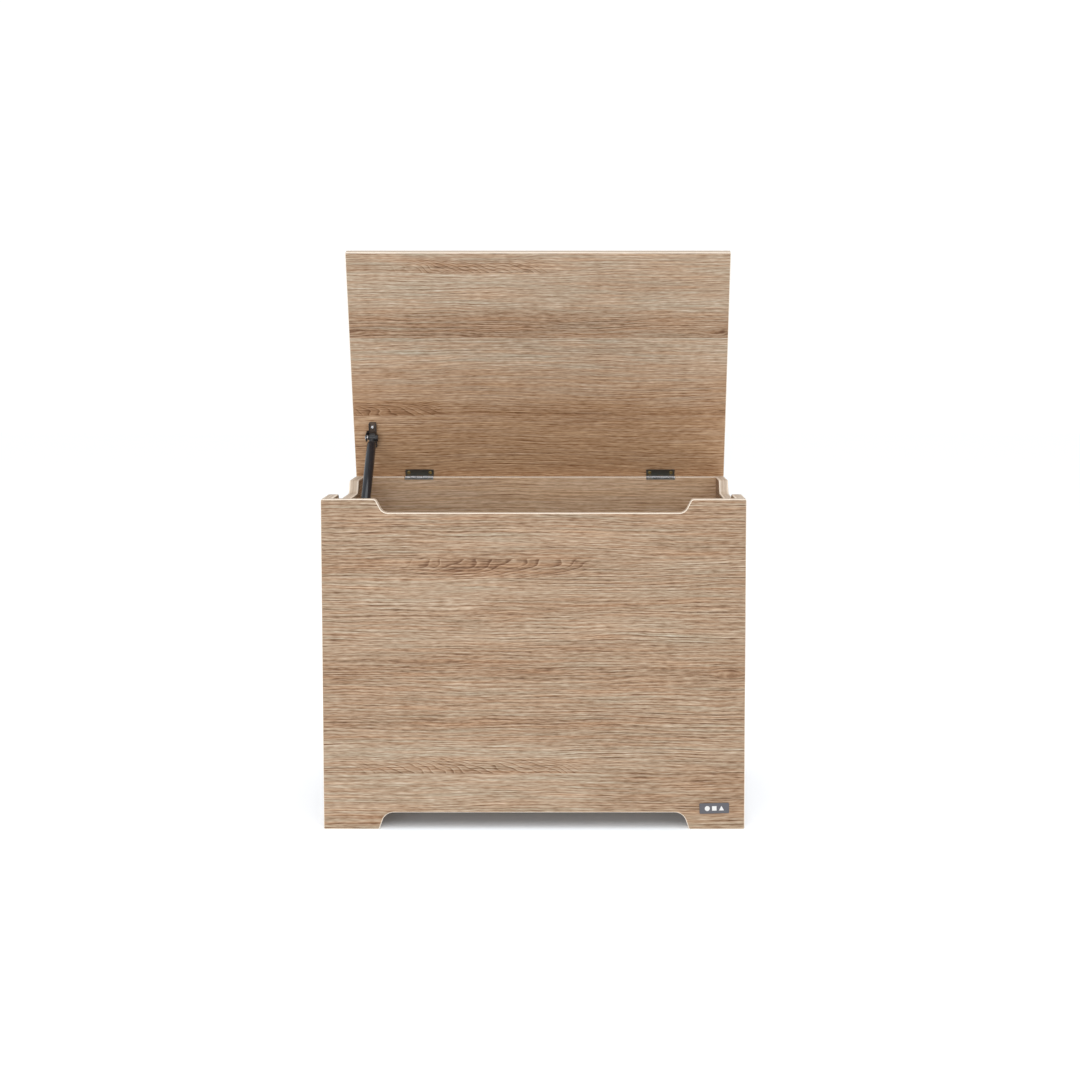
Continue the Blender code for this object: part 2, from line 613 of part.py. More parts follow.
# ---------------------------------------------------------------- the whole box

def build_toy_box():
    oak = ((0.44, 0.30, 0.20), 0.5)
    beech = ((0.60, 0.42, 0.25), 0.6)
    zinc = ((0.55, 0.55, 0.56), 0.4, 1.0)
    steel = ((0.12, 0.12, 0.12), 0.35, 1.0)
    brass = ((0.55, 0.42, 0.20), 0.35, 1.0)
    plated = ((0.25, 0.22, 0.20), 0.4, 1.0)
    chrome = ((0.70, 0.70, 0.72), 0.15, 1.0)
    black = ((0.03, 0.03, 0.035), 0.35)
    slate = ((0.12, 0.13, 0.15), 0.4)

    build_front(oak)
    back = build_back(oak)
    left_side = build_side("left_side_panel", -1, oak)
    build_side("right_side_panel", 1, oak)
    build_base(oak)
    for end_name, end in (("front", -1), ("back", 1)):
        for side_name, side in (("left", -1), ("right", 1)):
            build_corner(f"{end_name}_{side_name}", side, end, zinc, beech)
    pivot = add_empty("lid_pivot", (0, BACK_Y, AXIS_Z), -OPEN_ANGLE)
    lid = build_lid(oak, pivot)
    build_hinge("hinge_left", -HINGE_X, lid, back, steel, brass, pivot)
    build_hinge("hinge_right", HINGE_X, lid, back, steel, brass, pivot)
    build_strut(lid, left_side, (plated, brass, black, chrome), pivot)
    build_badge(slate)


clear_scene()
build_toy_box()
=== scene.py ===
"""Looks of the wooden toy box: oak-effect boards with pale edge banding, dark butt hinges,
a black gas strut, a slate badge, a pale floor, soft light and the camera.

Every board is made flat in its own frame, with X along the grain, Y across it and Z out
of the outer face, and is then set in place. All places come from the CAD frame.
"""
from math import asin, atan2, cos, pi, radians, sin

import bmesh
import bpy
from mathutils import Euler, Matrix, Vector
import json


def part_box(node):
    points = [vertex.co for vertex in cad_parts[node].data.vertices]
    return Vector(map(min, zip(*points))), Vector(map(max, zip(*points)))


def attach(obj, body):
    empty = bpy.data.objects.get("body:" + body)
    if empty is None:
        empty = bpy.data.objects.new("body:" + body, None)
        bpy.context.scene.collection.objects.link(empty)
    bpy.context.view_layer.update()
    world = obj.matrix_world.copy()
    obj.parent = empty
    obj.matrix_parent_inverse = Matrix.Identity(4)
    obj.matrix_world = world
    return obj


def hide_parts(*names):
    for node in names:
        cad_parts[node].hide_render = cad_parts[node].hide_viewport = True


MM = 0.001
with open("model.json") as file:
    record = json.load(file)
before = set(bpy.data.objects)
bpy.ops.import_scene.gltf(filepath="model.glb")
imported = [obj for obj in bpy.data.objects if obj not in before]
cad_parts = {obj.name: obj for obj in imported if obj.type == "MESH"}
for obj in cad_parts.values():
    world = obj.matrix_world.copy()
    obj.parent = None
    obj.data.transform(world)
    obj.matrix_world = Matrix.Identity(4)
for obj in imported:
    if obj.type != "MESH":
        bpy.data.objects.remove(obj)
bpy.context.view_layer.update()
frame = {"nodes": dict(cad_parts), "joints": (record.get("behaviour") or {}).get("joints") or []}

# Dimensions that the boxes of the nodes give
FRONT_LOW, FRONT_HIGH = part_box("front_panel")
LEFT_LOW, LEFT_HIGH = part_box("left_side_panel")
BASE_LOW, BASE_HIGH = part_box("base_panel")
BADGE_LOW, BADGE_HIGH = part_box("badge_plate")
HALF_WIDTH = FRONT_HIGH.x
RIM = FRONT_HIGH.z
BOARD = FRONT_HIGH.y - FRONT_LOW.y
FRONT_Y, BACK_Y = FRONT_LOW.y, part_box("back_panel")[1].y
DEPTH = BACK_Y - FRONT_Y
INNER_X = HALF_WIDTH - BOARD
MIDDLE_Y = (FRONT_Y + BACK_Y) / 2
JOINTS = {joint["name"]: joint for joint in frame["joints"]}
AXIS = Vector(JOINTS["lid_hinge"]["pos_m"])
BALL = Vector(JOINTS["strut_pivot"]["pos_m"])
STRUT_WAY = Vector(JOINTS["strut_slide"]["axis"])
OPEN_ANGLE = radians(JOINTS["lid_hinge"]["range_deg"][1])

# Dimensions repeated from the CAD design
GAP = 0.3 * MM
SHOULDER, SCOOP_DROP = 73.5 * MM, 19.5 * MM
SCOOP_RADII, SCOOP_SLOPE = (6 * MM, 13 * MM), radians(63)
FOOT, ARCH_RISE = 77 * MM, 24.3 * MM
ARCH_RADII, ARCH_SLOPE = (3 * MM, 17 * MM), radians(70)
CORNER_RADIUS = 2 * MM
AXIS_TO_LID = 2.7 * MM
CAM_RADIUS, CAM_LENGTH = 7.5 * MM, 12 * MM
LEAF_LENGTH, LEAF_WIDTH, LEAF_THICKNESS = 46 * MM, 13 * MM, 1.2 * MM
KNUCKLE_RADIUS, KNUCKLE_BORE, KNUCKLE_GAP = 2.4 * MM, 1.3 * MM, 0.4 * MM
KNUCKLES = 5
HINGE_SCREW_X, HINGE_SCREW_Y = 17.3 * MM, 7.8 * MM
SCREW_RADIUS, SCREW_HEAD, SCREW_CROWN, SCREW_LENGTH = 1.4 * MM, 2.8 * MM, 0.4 * MM, 12 * MM
BRACKET_SCREW_REACH = 13 * MM

EDGE_ROUND = 1.0 * MM               # rounding of the boards' edges
ARC_STEPS = 14
ALONG_X = Matrix(((0, 0, 1, 0), (1, 0, 0, 0), (0, 1, 0, 0), (0, 0, 0, 1)))     # turns X, Y, Z into Y, Z, X


# ---------------- node helpers

class Shade:
    """The nodes of a material or of the world, added one after another."""

    def __init__(self, owner, surface="Principled BSDF"):
        owner.use_nodes = True
        self.owner = owner
        self.tree = owner.node_tree
        self.surface = self.tree.nodes[surface]

    def feed(self, socket, value):
        if isinstance(value, bpy.types.NodeSocket):
            self.tree.links.new(value, socket)
        else:
            socket.default_value = value

    def add(self, kind, inputs=None, **settings):
        node = self.tree.nodes.new(kind)
        for key, value in settings.items():
            setattr(node, key, value)
        for key, value in (inputs or {}).items():
            self.feed(node.inputs[key], value)
        return node

    def math(self, operation, *values):
        return self.add("ShaderNodeMath", dict(enumerate(values)), operation=operation).outputs[0]

    def minus(self, first, second):
        return self.math("SUBTRACT", first, second)

    def times(self, first, second):
        return self.math("MULTIPLY", first, second)

    def times_plus(self, first, second, third):
        """The first times the second, plus the third."""
        return self.math("MULTIPLY_ADD", first, second, third)

    def add_up(self, first, *others):
        total = first
        for other in others:
            total = self.math("ADD", total, other)
        return total

    def fade(self, value, start, end, low=0.0, high=1.0):
        """A smooth change from low to high while the value goes from start to end."""
        limits = {"Value": value, "From Min": start, "From Max": end, "To Min": low, "To Max": high}
        return self.add("ShaderNodeMapRange", limits, interpolation_type="SMOOTHSTEP").outputs[0]

    def place(self):
        coordinates = self.add("ShaderNodeTexCoord").outputs["Object"]
        return self.add("ShaderNodeSeparateXYZ", {"Vector": coordinates}).outputs

    def point(self, x, y, z):
        return self.add("ShaderNodeCombineXYZ", {"X": x, "Y": y, "Z": z}).outputs[0]

    def noise(self, vector, scale, detail=2.0, roughness=0.5):
        """Noise with its own frequency along each axis, per metre."""
        stretched = self.add("ShaderNodeVectorMath", {0: vector, 1: scale}, operation="MULTIPLY").outputs[0]
        inputs = {"Vector": stretched, "Scale": 1.0, "Detail": detail, "Roughness": roughness}
        return self.add("ShaderNodeTexNoise", inputs).outputs["Fac"]

    def ramp(self, value, stops):
        node = self.add("ShaderNodeValToRGB", {"Fac": value})
        elements = node.color_ramp.elements
        while len(elements) < len(stops):
            elements.new(0.5)
        for element, (position, colour) in zip(elements, stops):
            element.position = position
            element.color = (*colour, 1.0)
        return node.outputs["Color"]

    def bump(self, height, distance, strength=1.0):
        node = self.add("ShaderNodeBump", {"Height": height, "Distance": distance, "Strength": strength})
        self.feed(self.surface.inputs["Normal"], node.outputs["Normal"])

    def set(self, **values):
        for key, value in values.items():
            self.feed(self.surface.inputs[key.replace("_", " ")], value)
        return self.owner


# ---------------- materials

OAK_TONES = [(0.0, (0.118, 0.055, 0.025)), (0.25, (0.262, 0.159, 0.090)), (0.50, (0.385, 0.267, 0.174)),
             (0.75, (0.502, 0.381, 0.272)), (1.0, (0.640, 0.520, 0.400))]
BANDING_TONES = [(0.30, (0.34, 0.24, 0.16)), (0.46, (0.50, 0.39, 0.29)), (0.62, (0.66, 0.54, 0.43)),
                 (0.85, (0.86, 0.76, 0.64))]
STEEP_BAND, SWEEP_RADIUS = 14 * MM, 7 * MM      # where nested arcs turn along the grain, and how softly
END_FADE = 50 * MM                              # how softly a stretch ends along the grain
GRAIN_LAYERS = {        # per metre along the grain and across it, detail, roughness, share in the tone
    "clouds": (1.6, 16.0, 2.0, 0.5, 0.42),
    "streaks": (3.5, 70.0, 3.0, 0.55, 0.14),
    "lines": (8.0, 330.0, 1.0, 0.6, 0.08),
    "fibres": (24.0, 590.0, 1.0, 0.7, 0.78),
    "dashes": (80.0, 640.0, 1.0, 0.5, 0.76),
}
COMB_PER_METRE, COMB_SHARE = 500.0, 0.29        # fine even lines that come and go
GROWTH_PER_METRE = 165.0                        # growth lines across the grain
LIGHT_LINE, DARK_LINE, PORE, KNOT = 0.16, 0.29, 0.12, 0.15      # how much each changes the tone
FIGURE_LINES, RING_SHADE = 0.85, 0.12           # strength of a figure's lines, and how its rings differ
MIDDLE_TONE = 0.48                              # the wood's tone before anything changes it


def cut_figure(s, u, v, ripple, figure):
    """Nested arcs of flat-sawn grain, cut off at a seam: the ring count and where they show.

    figure: tip of the last ring, seam, side of the seam, way the tips point, reach along the
    grain, reach across it, ring spacing and how flat the arcs become away from the seam.
    """
    tip, seam, side, way, length, width, spacing, flatness = figure
    across = s.times(s.minus(v, seam), float(side))
    inner = s.minus(across, STEEP_BAND)
    along = s.times(s.minus(u, tip), float(way))
    # steep near the seam, then swept back
    swept = s.add_up(inner, s.math("SQRT", s.times_plus(inner, inner, SWEEP_RADIUS ** 2)))
    rings = s.times_plus(across, 0.9, s.times_plus(swept, flatness / 2, along))
    rings = s.math("DIVIDE", s.times_plus(ripple, 0.09, rings), spacing)
    edge = s.times_plus(ripple, 0.012, across)
    inside = s.times(s.math("GREATER_THAN", across, 0.0), s.fade(edge, width * 0.8, width, 1.0, 0.0))
    inside = s.times(inside, s.fade(along, -length, -length * 0.55))
    inside = s.times(inside, s.fade(along, length * 0.1, length * 0.35, 1.0, 0.0))
    return rings, inside


def part_at_knots(s, u, v, ripple, wander, knots):
    """Lines part round each knot and come together again: the new wander and how near a core is."""
    core = 0.0
    for along, across, size in knots:
        du = s.math("DIVIDE", s.minus(u, along), size * 2.2)
        dv = s.math("DIVIDE", s.minus(v, across), size * 0.8)
        distance = s.add_up(s.times(du, du), s.times(dv, dv), s.times(ripple, 0.5))
        near = s.fade(distance, 0.2, 1.6, 1.0, 0.0)
        wander = s.times_plus(s.times(dv, near), -0.6 * size, wander)
        core = s.math("MAXIMUM", near, core)
    return wander, core


def broad_change(s, u, v, streaks, seams, stretches):
    """How much lighter or darker the stretches make each place."""
    broad = 0.0
    for start, end, change, left, right in stretches:
        inward = s.times(s.minus(v, start), 1.0 if end > start else -1.0)
        width, soft = abs(end - start), 0.6 * MM if start in seams else 9 * MM
        uneven = s.times_plus(streaks, 0.012, inward)
        across = s.times(s.fade(inward, -soft, soft), s.fade(uneven, width * 0.6, width * 1.2, 1.0, 0.0))
        along = s.times(s.fade(u, left - END_FADE, left + END_FADE),
                        s.fade(u, right - END_FADE, right + END_FADE, 1.0, 0.0))
        broad = s.times_plus(s.times(across, along), change, broad)
    return broad


def growth_lines(s, count, weight):
    """Each growth line: a dark edge, a light edge after it and a soft rise between them."""
    phase = s.math("FRACT", count)
    dark = s.times(s.fade(phase, 0.55, 0.93), s.fade(phase, 0.93, 1.0, 1.0, 0.0))
    light = s.fade(phase, 0.0, 0.24, 1.0, 0.0)
    line = s.minus(s.times(light, LIGHT_LINE), s.times(dark, DARK_LINE))
    return s.times(line, weight)


def oak(name, seed, seams, figures=(), stretches=(), knots=(), painted_warm_shade=None, lift=0.0):
    """Oak-effect foil: planks side by side, each with its own streaks, pores and growth lines.

    seams are the places across the grain where two planks meet. A figure is a group of nested
    arcs at a seam. A stretch is lighter or darker: from and to across the grain, change, start
    and end along it. It begins sharply where it begins at a seam. A knot is a place along the
    grain, a place across it and a size. The wood turns warmer across the grain from the first to
    the second place in the painted warm shade, by its third value: painted shade like that inside
    the box. The lift is painted light that makes the whole board lighter, and painted shade where
    it is below zero.
    """
    s = Shade(bpy.data.materials.new(name))
    u, v, w = s.place()
    plank = s.add_up(s.math("GREATER_THAN", w, BOARD / 2), float(seed))
    for seam in seams:
        plank = s.times_plus(s.math("GREATER_THAN", v, seam), 1.7, plank)
    shift = s.times(plank, 5.37)

    # the grain wanders up and down slowly along the board
    sway = s.noise(s.point(u, v, shift), (2.4, 7.0, 1.0), 2.0)
    ripple = s.noise(s.point(u, v, shift), (13.0, 26.0, 1.0), 2.0)
    wander = s.add_up(v, s.times(sway, 0.020), s.times(ripple, 0.0042))
    wander, core = part_at_knots(s, u, v, ripple, wander, knots)
    flow = s.point(u, wander, shift)

    layers = {layer: s.noise(flow, (along, across, 1.0), detail, roughness)
              for layer, (along, across, detail, roughness, _) in GRAIN_LAYERS.items()}
    clouds, streaks, fibres = layers["clouds"], layers["streaks"], layers["fibres"]
    pores = s.noise(flow, (110.0, 900.0, 1.0), 1.0)
    drift = s.noise(flow, (3.0, 45.0, 1.0), 1.0)
    comb = s.math("PINGPONG", s.times_plus(drift, 9.0, s.times(wander, COMB_PER_METRE)), 1.0)
    strength = s.fade(streaks, 0.30, 0.60, 0.25, 1.0)
    comb = s.times_plus(s.minus(comb, 0.5), strength, 0.5)

    # growth lines follow the flow, and arcs take their place where there is a figure
    reach = s.fade(s.noise(flow, (2.6, 22.0, 1.0), 1.0), 0.44, 0.66, 0.05, 0.9)
    # the lift paints light over the whole board when above zero, and paints shade when below it
    tone = s.add_up(s.fade(pores, 0.58, 0.74, 0.0, -PORE), MIDDLE_TONE + lift)
    figured = 0.0
    for figure in figures:
        rings, inside = cut_figure(s, u, v, ripple, figure)
        tone = s.add_up(tone, growth_lines(s, rings, s.times(inside, FIGURE_LINES)))
        whole = s.math("FLOOR", rings)
        ring = s.add("ShaderNodeTexWhiteNoise", {"W": whole}, noise_dimensions="1D").outputs["Value"]
        tone = s.times_plus(s.times(s.minus(ring, 1.0), inside), RING_SHADE, tone)
        reach = s.times(reach, s.minus(1.0, inside))
        figured = s.math("MAXIMUM", figured, inside)
    growth = s.times_plus(clouds, 5.0, s.times(wander, GROWTH_PER_METRE))
    tone = s.add_up(tone, growth_lines(s, growth, reach))

    # everything else that darkens or lightens the wood
    for layer, (*_, share) in GRAIN_LAYERS.items():
        tone = s.times_plus(s.minus(layers[layer], 0.5), share, tone)
    tone = s.times_plus(s.minus(comb, 0.5), COMB_SHARE, tone)
    broad = broad_change(s, u, v, streaks, seams, stretches)
    tone = s.add_up(tone, broad)
    tone = s.times_plus(s.times(core, s.fade(fibres, 0.3, 0.7, 1.0, 0.3)), -KNOT, tone)

    # darker stretches and figures are warmer too
    warm = s.times_plus(figured, 0.08, s.noise(flow, (7.0, 190.0, 1.0), 2.0, 0.6))
    warm = s.times_plus(broad, -0.6, warm)
    warm = s.times_plus(s.minus(clouds, 0.5), -0.25, warm)
    # painted warm shade: the wood turns warmer across the grain, like the shade inside the box
    if painted_warm_shade:
        warm = s.add_up(warm, s.fade(v, painted_warm_shade[0], painted_warm_shade[1], 0.0, painted_warm_shade[2]))
    tint = s.ramp(warm, [(0.30, (0.93, 1.01, 1.05)), (0.5, (1.0, 1.0, 1.0)), (0.70, (1.07, 0.98, 0.91)),
                         (1.0, (1.06, 0.90, 0.74))])
    colour = s.add("ShaderNodeMix", {0: 1.0, 6: s.ramp(tone, OAK_TONES), 7: tint}, data_type="RGBA",
                   blend_type="MULTIPLY").outputs[2]
    s.bump(tone, 0.00010, 0.5)
    return s.set(Base_Color=colour, Roughness=s.fade(tone, 0.2, 0.8, 0.58, 0.48), Specular_IOR_Level=0.3)


def banding():
    """Edge banding with faint lines along the edge, palest at its rounded corners: partly its own paler trim,
    partly a painted highlight.
    """
    s = Shade(bpy.data.materials.new("edge_banding"))
    u, v, w = s.place()
    lines = s.noise(s.point(u, v, w), (9.0, 9.0, 900.0), 3.0, 0.6)
    specks = s.noise(s.point(u, v, w), (90.0, 90.0, 1500.0), 2.0, 0.6)
    tone = s.add_up(s.times(lines, 0.75), s.times(specks, 0.25))
    s.bump(tone, 0.00008, 0.5)
    # painted highlight, with some of the trim's own paler colour: the banding turns paler towards the faces,
    # at the rounded corners
    off_middle = s.math("ABSOLUTE", s.minus(w, BOARD / 2))
    corner = s.fade(off_middle, BOARD / 2 - 3.2 * MM, BOARD / 2 - 1.4 * MM, 0.0, 0.32)
    return s.set(Base_Color=s.ramp(s.add_up(tone, corner), BANDING_TONES), Roughness=0.5)


RELIEF = 0.05 * MM          # relief of a finish, unless its own is given


def speckled(name, tones, scale, roughness, metallic=0.0, relief=RELIEF, stretch=(1.0, 1.0, 1.0)):
    """A material whose colour and relief follow one fine noise."""
    s = Shade(bpy.data.materials.new(name))
    stops = [(0.3 + 0.4 * i / (len(tones) - 1), tone) for i, tone in enumerate(tones)]
    x, y, z = s.place()
    grain = s.noise(s.point(x, y, z), tuple(scale * part for part in stretch), 4.0, 0.6)
    s.bump(grain, relief, 0.6)
    gloss = s.fade(grain, 0.3, 0.7, roughness * 1.15, roughness * 0.85)
    return s.set(Base_Color=s.ramp(grain, stops), Roughness=gloss, Metallic=metallic)


FINISHES = {        # tones from dark to light, grain per metre, roughness, metallic, relief and stretch
    "chipboard": (((0.30, 0.20, 0.12), (0.50, 0.37, 0.24), (0.66, 0.52, 0.36)), 900.0, 0.85, 0.0, 0.0002),
    "hinge_steel": (((0.12, 0.12, 0.11), (0.22, 0.22, 0.20)), 1500.0, 0.38, 1.0, RELIEF, (0.05, 1.0, 1.0)),
    # a lighter copy of the hinge steel: a painted highlight on the rolled knuckles
    "knuckle_painted_highlight": (((0.26, 0.26, 0.27), (0.44, 0.44, 0.46)), 900.0, 0.34, 1.0, RELIEF, (0.25, 1.0, 1.0)),
    "screw_brass": (((0.32, 0.25, 0.11), (0.50, 0.40, 0.20)), 2500.0, 0.32, 1.0),
    "zinc_casting": (((0.42, 0.42, 0.43), (0.58, 0.58, 0.59)), 1800.0, 0.45, 1.0, 0.0001),
    "beech_dowel": (((0.52, 0.34, 0.19), (0.68, 0.48, 0.30)), 1200.0, 0.7, 0.0, RELIEF, (1.0, 1.0, 0.03)),
    "black_plastic": (((0.012, 0.012, 0.013), (0.024, 0.024, 0.026)), 3000.0, 0.42, 0.0, 0.00003),
    "strut_paint": (((0.005, 0.007, 0.012), (0.009, 0.012, 0.019)), 2200.0, 0.13, 0.0, 0.000003),
    "bracket_paint": (((0.012, 0.012, 0.013), (0.024, 0.024, 0.026)), 1800.0, 0.38, 0.0, 0.00004),
    "bracket_bronze": (((0.085, 0.060, 0.045), (0.150, 0.110, 0.085)), 1800.0, 0.42, 0.6, 0.00004),
    "polished_steel": (((0.42, 0.42, 0.43), (0.60, 0.60, 0.61)), 2500.0, 0.16, 1.0, 0.00001),
    "badge_slate": (((0.082, 0.080, 0.090), (0.106, 0.103, 0.114)), 2500.0, 0.42),
    "badge_print": (((0.66, 0.65, 0.63), (0.76, 0.75, 0.73)), 2500.0, 0.5, 0.0, 0.00002),
}


def make_materials():
    materials = {"edge_banding": banding()}
    for name, look in FINISHES.items():
        materials[name] = speckled(name, *look)
    return materials


# ---------------- mesh helpers

def arc(centre, radius, start, end, steps):
    angles = [start + (end - start) * i / steps for i in range(steps + 1)]
    return [(centre[0] + radius * cos(angle), centre[1] + radius * sin(angle)) for angle in angles]


def in_mm(points, start=(0.0, 0.0)):
    """Points given in millimetres from a start."""
    return [(start[0] + u * MM, start[1] + v * MM) for u, v in points]


def turned(profile, sides=48):
    """Turn a profile of (radius, height) points round Z; it starts and ends on the axis."""
    bm = bmesh.new()
    rings = []
    for radius, height in profile:
        angles = [2 * pi * i / sides for i in range(1 if radius == 0 else sides)]
        rings.append([bm.verts.new((radius * cos(angle), radius * sin(angle), height)) for angle in angles])
    for below, above in zip(rings, rings[1:]):
        for i in range(sides):
            corners = [below[i % len(below)], below[(i + 1) % len(below)],
                       above[(i + 1) % len(above)], above[i % len(above)]]
            bm.faces.new(list(dict.fromkeys(corners)))
    return bm


def prism(outline, low, high):
    """Extrude an outline in X and Y along Z."""
    bm = bmesh.new()
    near = [bm.verts.new((u, v, low)) for u, v in outline]
    far = [bm.verts.new((u, v, high)) for u, v in outline]
    bm.faces.new(near[::-1])
    bm.faces.new(far)
    for i in range(len(outline)):
        j = (i + 1) % len(outline)
        bm.faces.new((near[i], near[j], far[j], far[i]))
    return bm


def block(low, high):
    bm = bmesh.new()
    size = [b - a for a, b in zip(low, high)]
    middle = [(a + b) / 2 for a, b in zip(low, high)]
    bmesh.ops.create_cube(bm, size=1.0, matrix=Matrix.Translation(middle) @ Matrix.Diagonal((*size, 1.0)))
    return bm


def spanning_block(matrix, low, high):
    """A block between two corners given in the world, in the frame that the matrix places."""
    ends = [matrix.inverted() @ Vector(corner) for corner in (low, high)]
    return block([min(values) for values in zip(*ends)], [max(values) for values in zip(*ends)])


def rounded_rectangle(centre, half_u, half_v, corner, steps):
    outline = []
    for u, v, quarter in ((1, 1, 0), (-1, 1, 1), (-1, -1, 2), (1, -1, 3)):
        middle = (centre[0] + u * (half_u - corner), centre[1] + v * (half_v - corner))
        outline += arc(middle, corner, quarter * pi / 2, (quarter + 1) * pi / 2, steps)
    return outline


def rotation(x=0.0, y=0.0, z=0.0):
    return Euler((x, y, z)).to_matrix().to_4x4()


def move_by(x, y, z):
    return Matrix.Translation((x, y, z))


def transformed(bm, matrix):
    bmesh.ops.transform(bm, matrix=matrix, verts=bm.verts)
    return bm


def rod(start, end, radius, sides=24):
    bm = bmesh.new()
    start, end = Vector(start), Vector(end)
    along = end - start
    matrix = Matrix.Translation((start + end) / 2) @ along.to_track_quat("Z", "Y").to_matrix().to_4x4()
    bmesh.ops.create_cone(bm, cap_ends=True, segments=sides, radius1=radius, radius2=radius,
                          depth=along.length, matrix=matrix)
    return bm


def spanning_rod(matrix, start, end, radius, sides=24):
    """A rod between two points given in the world, in the frame that the matrix places."""
    back = matrix.inverted()
    return rod(back @ Vector(start), back @ Vector(end), radius, sides)


def add_piece(name, bm, materials, matrix=Matrix.Identity(4)):
    bmesh.ops.recalc_face_normals(bm, faces=bm.faces)
    mesh = bpy.data.meshes.new(name)
    bm.to_mesh(mesh)
    bm.free()
    for material in materials:
        mesh.materials.append(material)
    thing = bpy.data.objects.new(name, mesh)
    thing.matrix_world = matrix
    bpy.context.scene.collection.objects.link(thing)
    return thing


def carve(piece, helpers, operation="DIFFERENCE", slot=0):
    """Cut helper solids, in the piece's own frame, out of it or join them on.

    The new faces take the material in the slot.
    """
    made = []
    for number, bm in enumerate(helpers):
        helper = add_piece(f"{piece.name}_helper_{number}", bm, piece.data.materials, piece.matrix_world)
        for face in helper.data.polygons:
            face.material_index = slot
        modifier = piece.modifiers.new(helper.name, "BOOLEAN")
        modifier.operation = operation
        modifier.solver = "EXACT"
        modifier.object = helper
        made.append(helper)
    bake(piece)
    for helper in made:
        bpy.data.objects.remove(helper)


def bake(piece):
    """Replace the piece's mesh by the one that its modifiers make."""
    bpy.context.view_layer.update()
    evaluated = piece.evaluated_get(bpy.context.evaluated_depsgraph_get())
    mesh = bpy.data.meshes.new_from_object(evaluated)
    piece.modifiers.clear()
    piece.data = mesh
    mesh.name = piece.name


def soften(piece, width, angle=35):
    """Round the sharp edges, and shade the rest smooth."""
    modifier = piece.modifiers.new("round_edges", "BEVEL")
    modifier.width = width
    modifier.segments = 2
    modifier.limit_method = "ANGLE"
    modifier.angle_limit = radians(angle)
    modifier.harden_normals = True
    shade_round(piece, angle)
    bake(piece)


def shade_round(piece, angle=35):
    """Shade a turned piece smooth between its sharp edges."""
    piece.data.shade_smooth()
    piece.data.set_sharp_from_angle(angle=radians(angle))


def settle(piece, body, slot, *nodes):
    """Make the piece ride on its body and stand for its CAD nodes."""
    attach(piece, body)
    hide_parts(*nodes)


# ---------------- boards

def s_step(start, rise, radii, slope):
    """An S-shaped step towards the middle of a board: arc, straight slope, arc."""
    first, last = radii
    u0, v0 = start
    side = 1 if rise > 0 else -1
    straight = (abs(rise) - (first + last) * (1 - cos(slope))) / sin(slope)
    u1 = u0 - (first + last) * sin(slope) - straight * cos(slope)
    turns = [slope * i / ARC_STEPS for i in range(ARC_STEPS + 1)]
    leaving = [(u0 - first * sin(a), v0 + side * first * (1 - cos(a))) for a in turns]
    landing = [(u1 + last * sin(a), v0 + rise - side * last * (1 - cos(a))) for a in reversed(turns)]
    return leaving + landing


def board_outline(half_width, foot, shoulder=None, corner=0.0):
    """A board's outline, symmetrical about u = 0, anticlockwise from the arch's right end."""
    right = list(reversed(s_step((half_width - foot, 0), ARCH_RISE, ARCH_RADII, ARCH_SLOPE)))
    if corner:
        right += arc((half_width - corner, corner), corner, -pi / 2, 0, 5)
        right += arc((half_width - corner, RIM - corner), corner, 0, pi / 2, 5)
    else:
        right += [(half_width, 0), (half_width, RIM)]
    if shoulder:
        right += s_step((half_width - shoulder, RIM), -SCOOP_DROP, SCOOP_RADII, SCOOP_SLOPE)
    return right + [(-u, v) for u, v in reversed(right)]


def inset(outline, amount):
    """Move every point of an anticlockwise outline inwards by the amount."""
    moved = []
    points = [Vector(point) for point in outline]
    for before, here, after in zip(points[-1:] + points, points, points[1:] + points[:1]):
        first, second = (here - before).normalized(), (after - here).normalized()
        across = Vector((-first.y - second.y, first.x + second.x)).normalized()
        lean = max(0.5, across.dot(Vector((-first.y, first.x))))
        moved.append(tuple(here + across * (amount / lean)))
    return moved


def round_board(outline):
    """A board with rounded edges: slot 0 on the two faces, slot 1 round the edge."""
    bm = bmesh.new()
    steps = 3
    angles = [pi / 2 * i / steps for i in range(steps + 1)]
    layers = [(EDGE_ROUND * (1 - sin(angle)), EDGE_ROUND * (1 - cos(angle))) for angle in angles]
    layers += [(amount, BOARD - depth) for amount, depth in reversed(layers)]
    rings = [[bm.verts.new((u, v, depth)) for u, v in inset(outline, amount)] for amount, depth in layers]
    bm.faces.new(rings[0][::-1])
    bm.faces.new(rings[-1])
    for below, above in zip(rings, rings[1:]):
        for i in range(len(outline)):
            j = (i + 1) % len(outline)
            strip = bm.faces.new((below[i], below[j], above[j], above[i]))
            strip.material_index = 1
    return bm


def finish_board(board):
    """Flat faces stay flat, and rounded edges are smooth."""
    shade_round(board)
    for face in board.data.polygons:
        face.use_smooth = abs(face.normal.z) <= 0.999


def place_matrix(origin, along, across):
    """The frame of a board: its X, its Y, and Z out of its outer face."""
    along, across = Vector(along), Vector(across)
    out = along.cross(across)
    matrix = Matrix((along, across, out)).transposed().to_4x4()
    matrix.translation = Vector(origin)
    return matrix


def cam_places():
    """Each cam lock's name, side, end and centre."""
    places = []
    for side, side_name in ((-1, "left"), (1, "right")):
        for end, end_name in ((-1, "front"), (1, "back")):
            for level in ("lower", "upper"):
                name = f"{end_name}_{side_name}_{level}"
                low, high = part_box("cam_lock_" + name)
                places.append((name, side, end, (low + high) / 2))
    return places


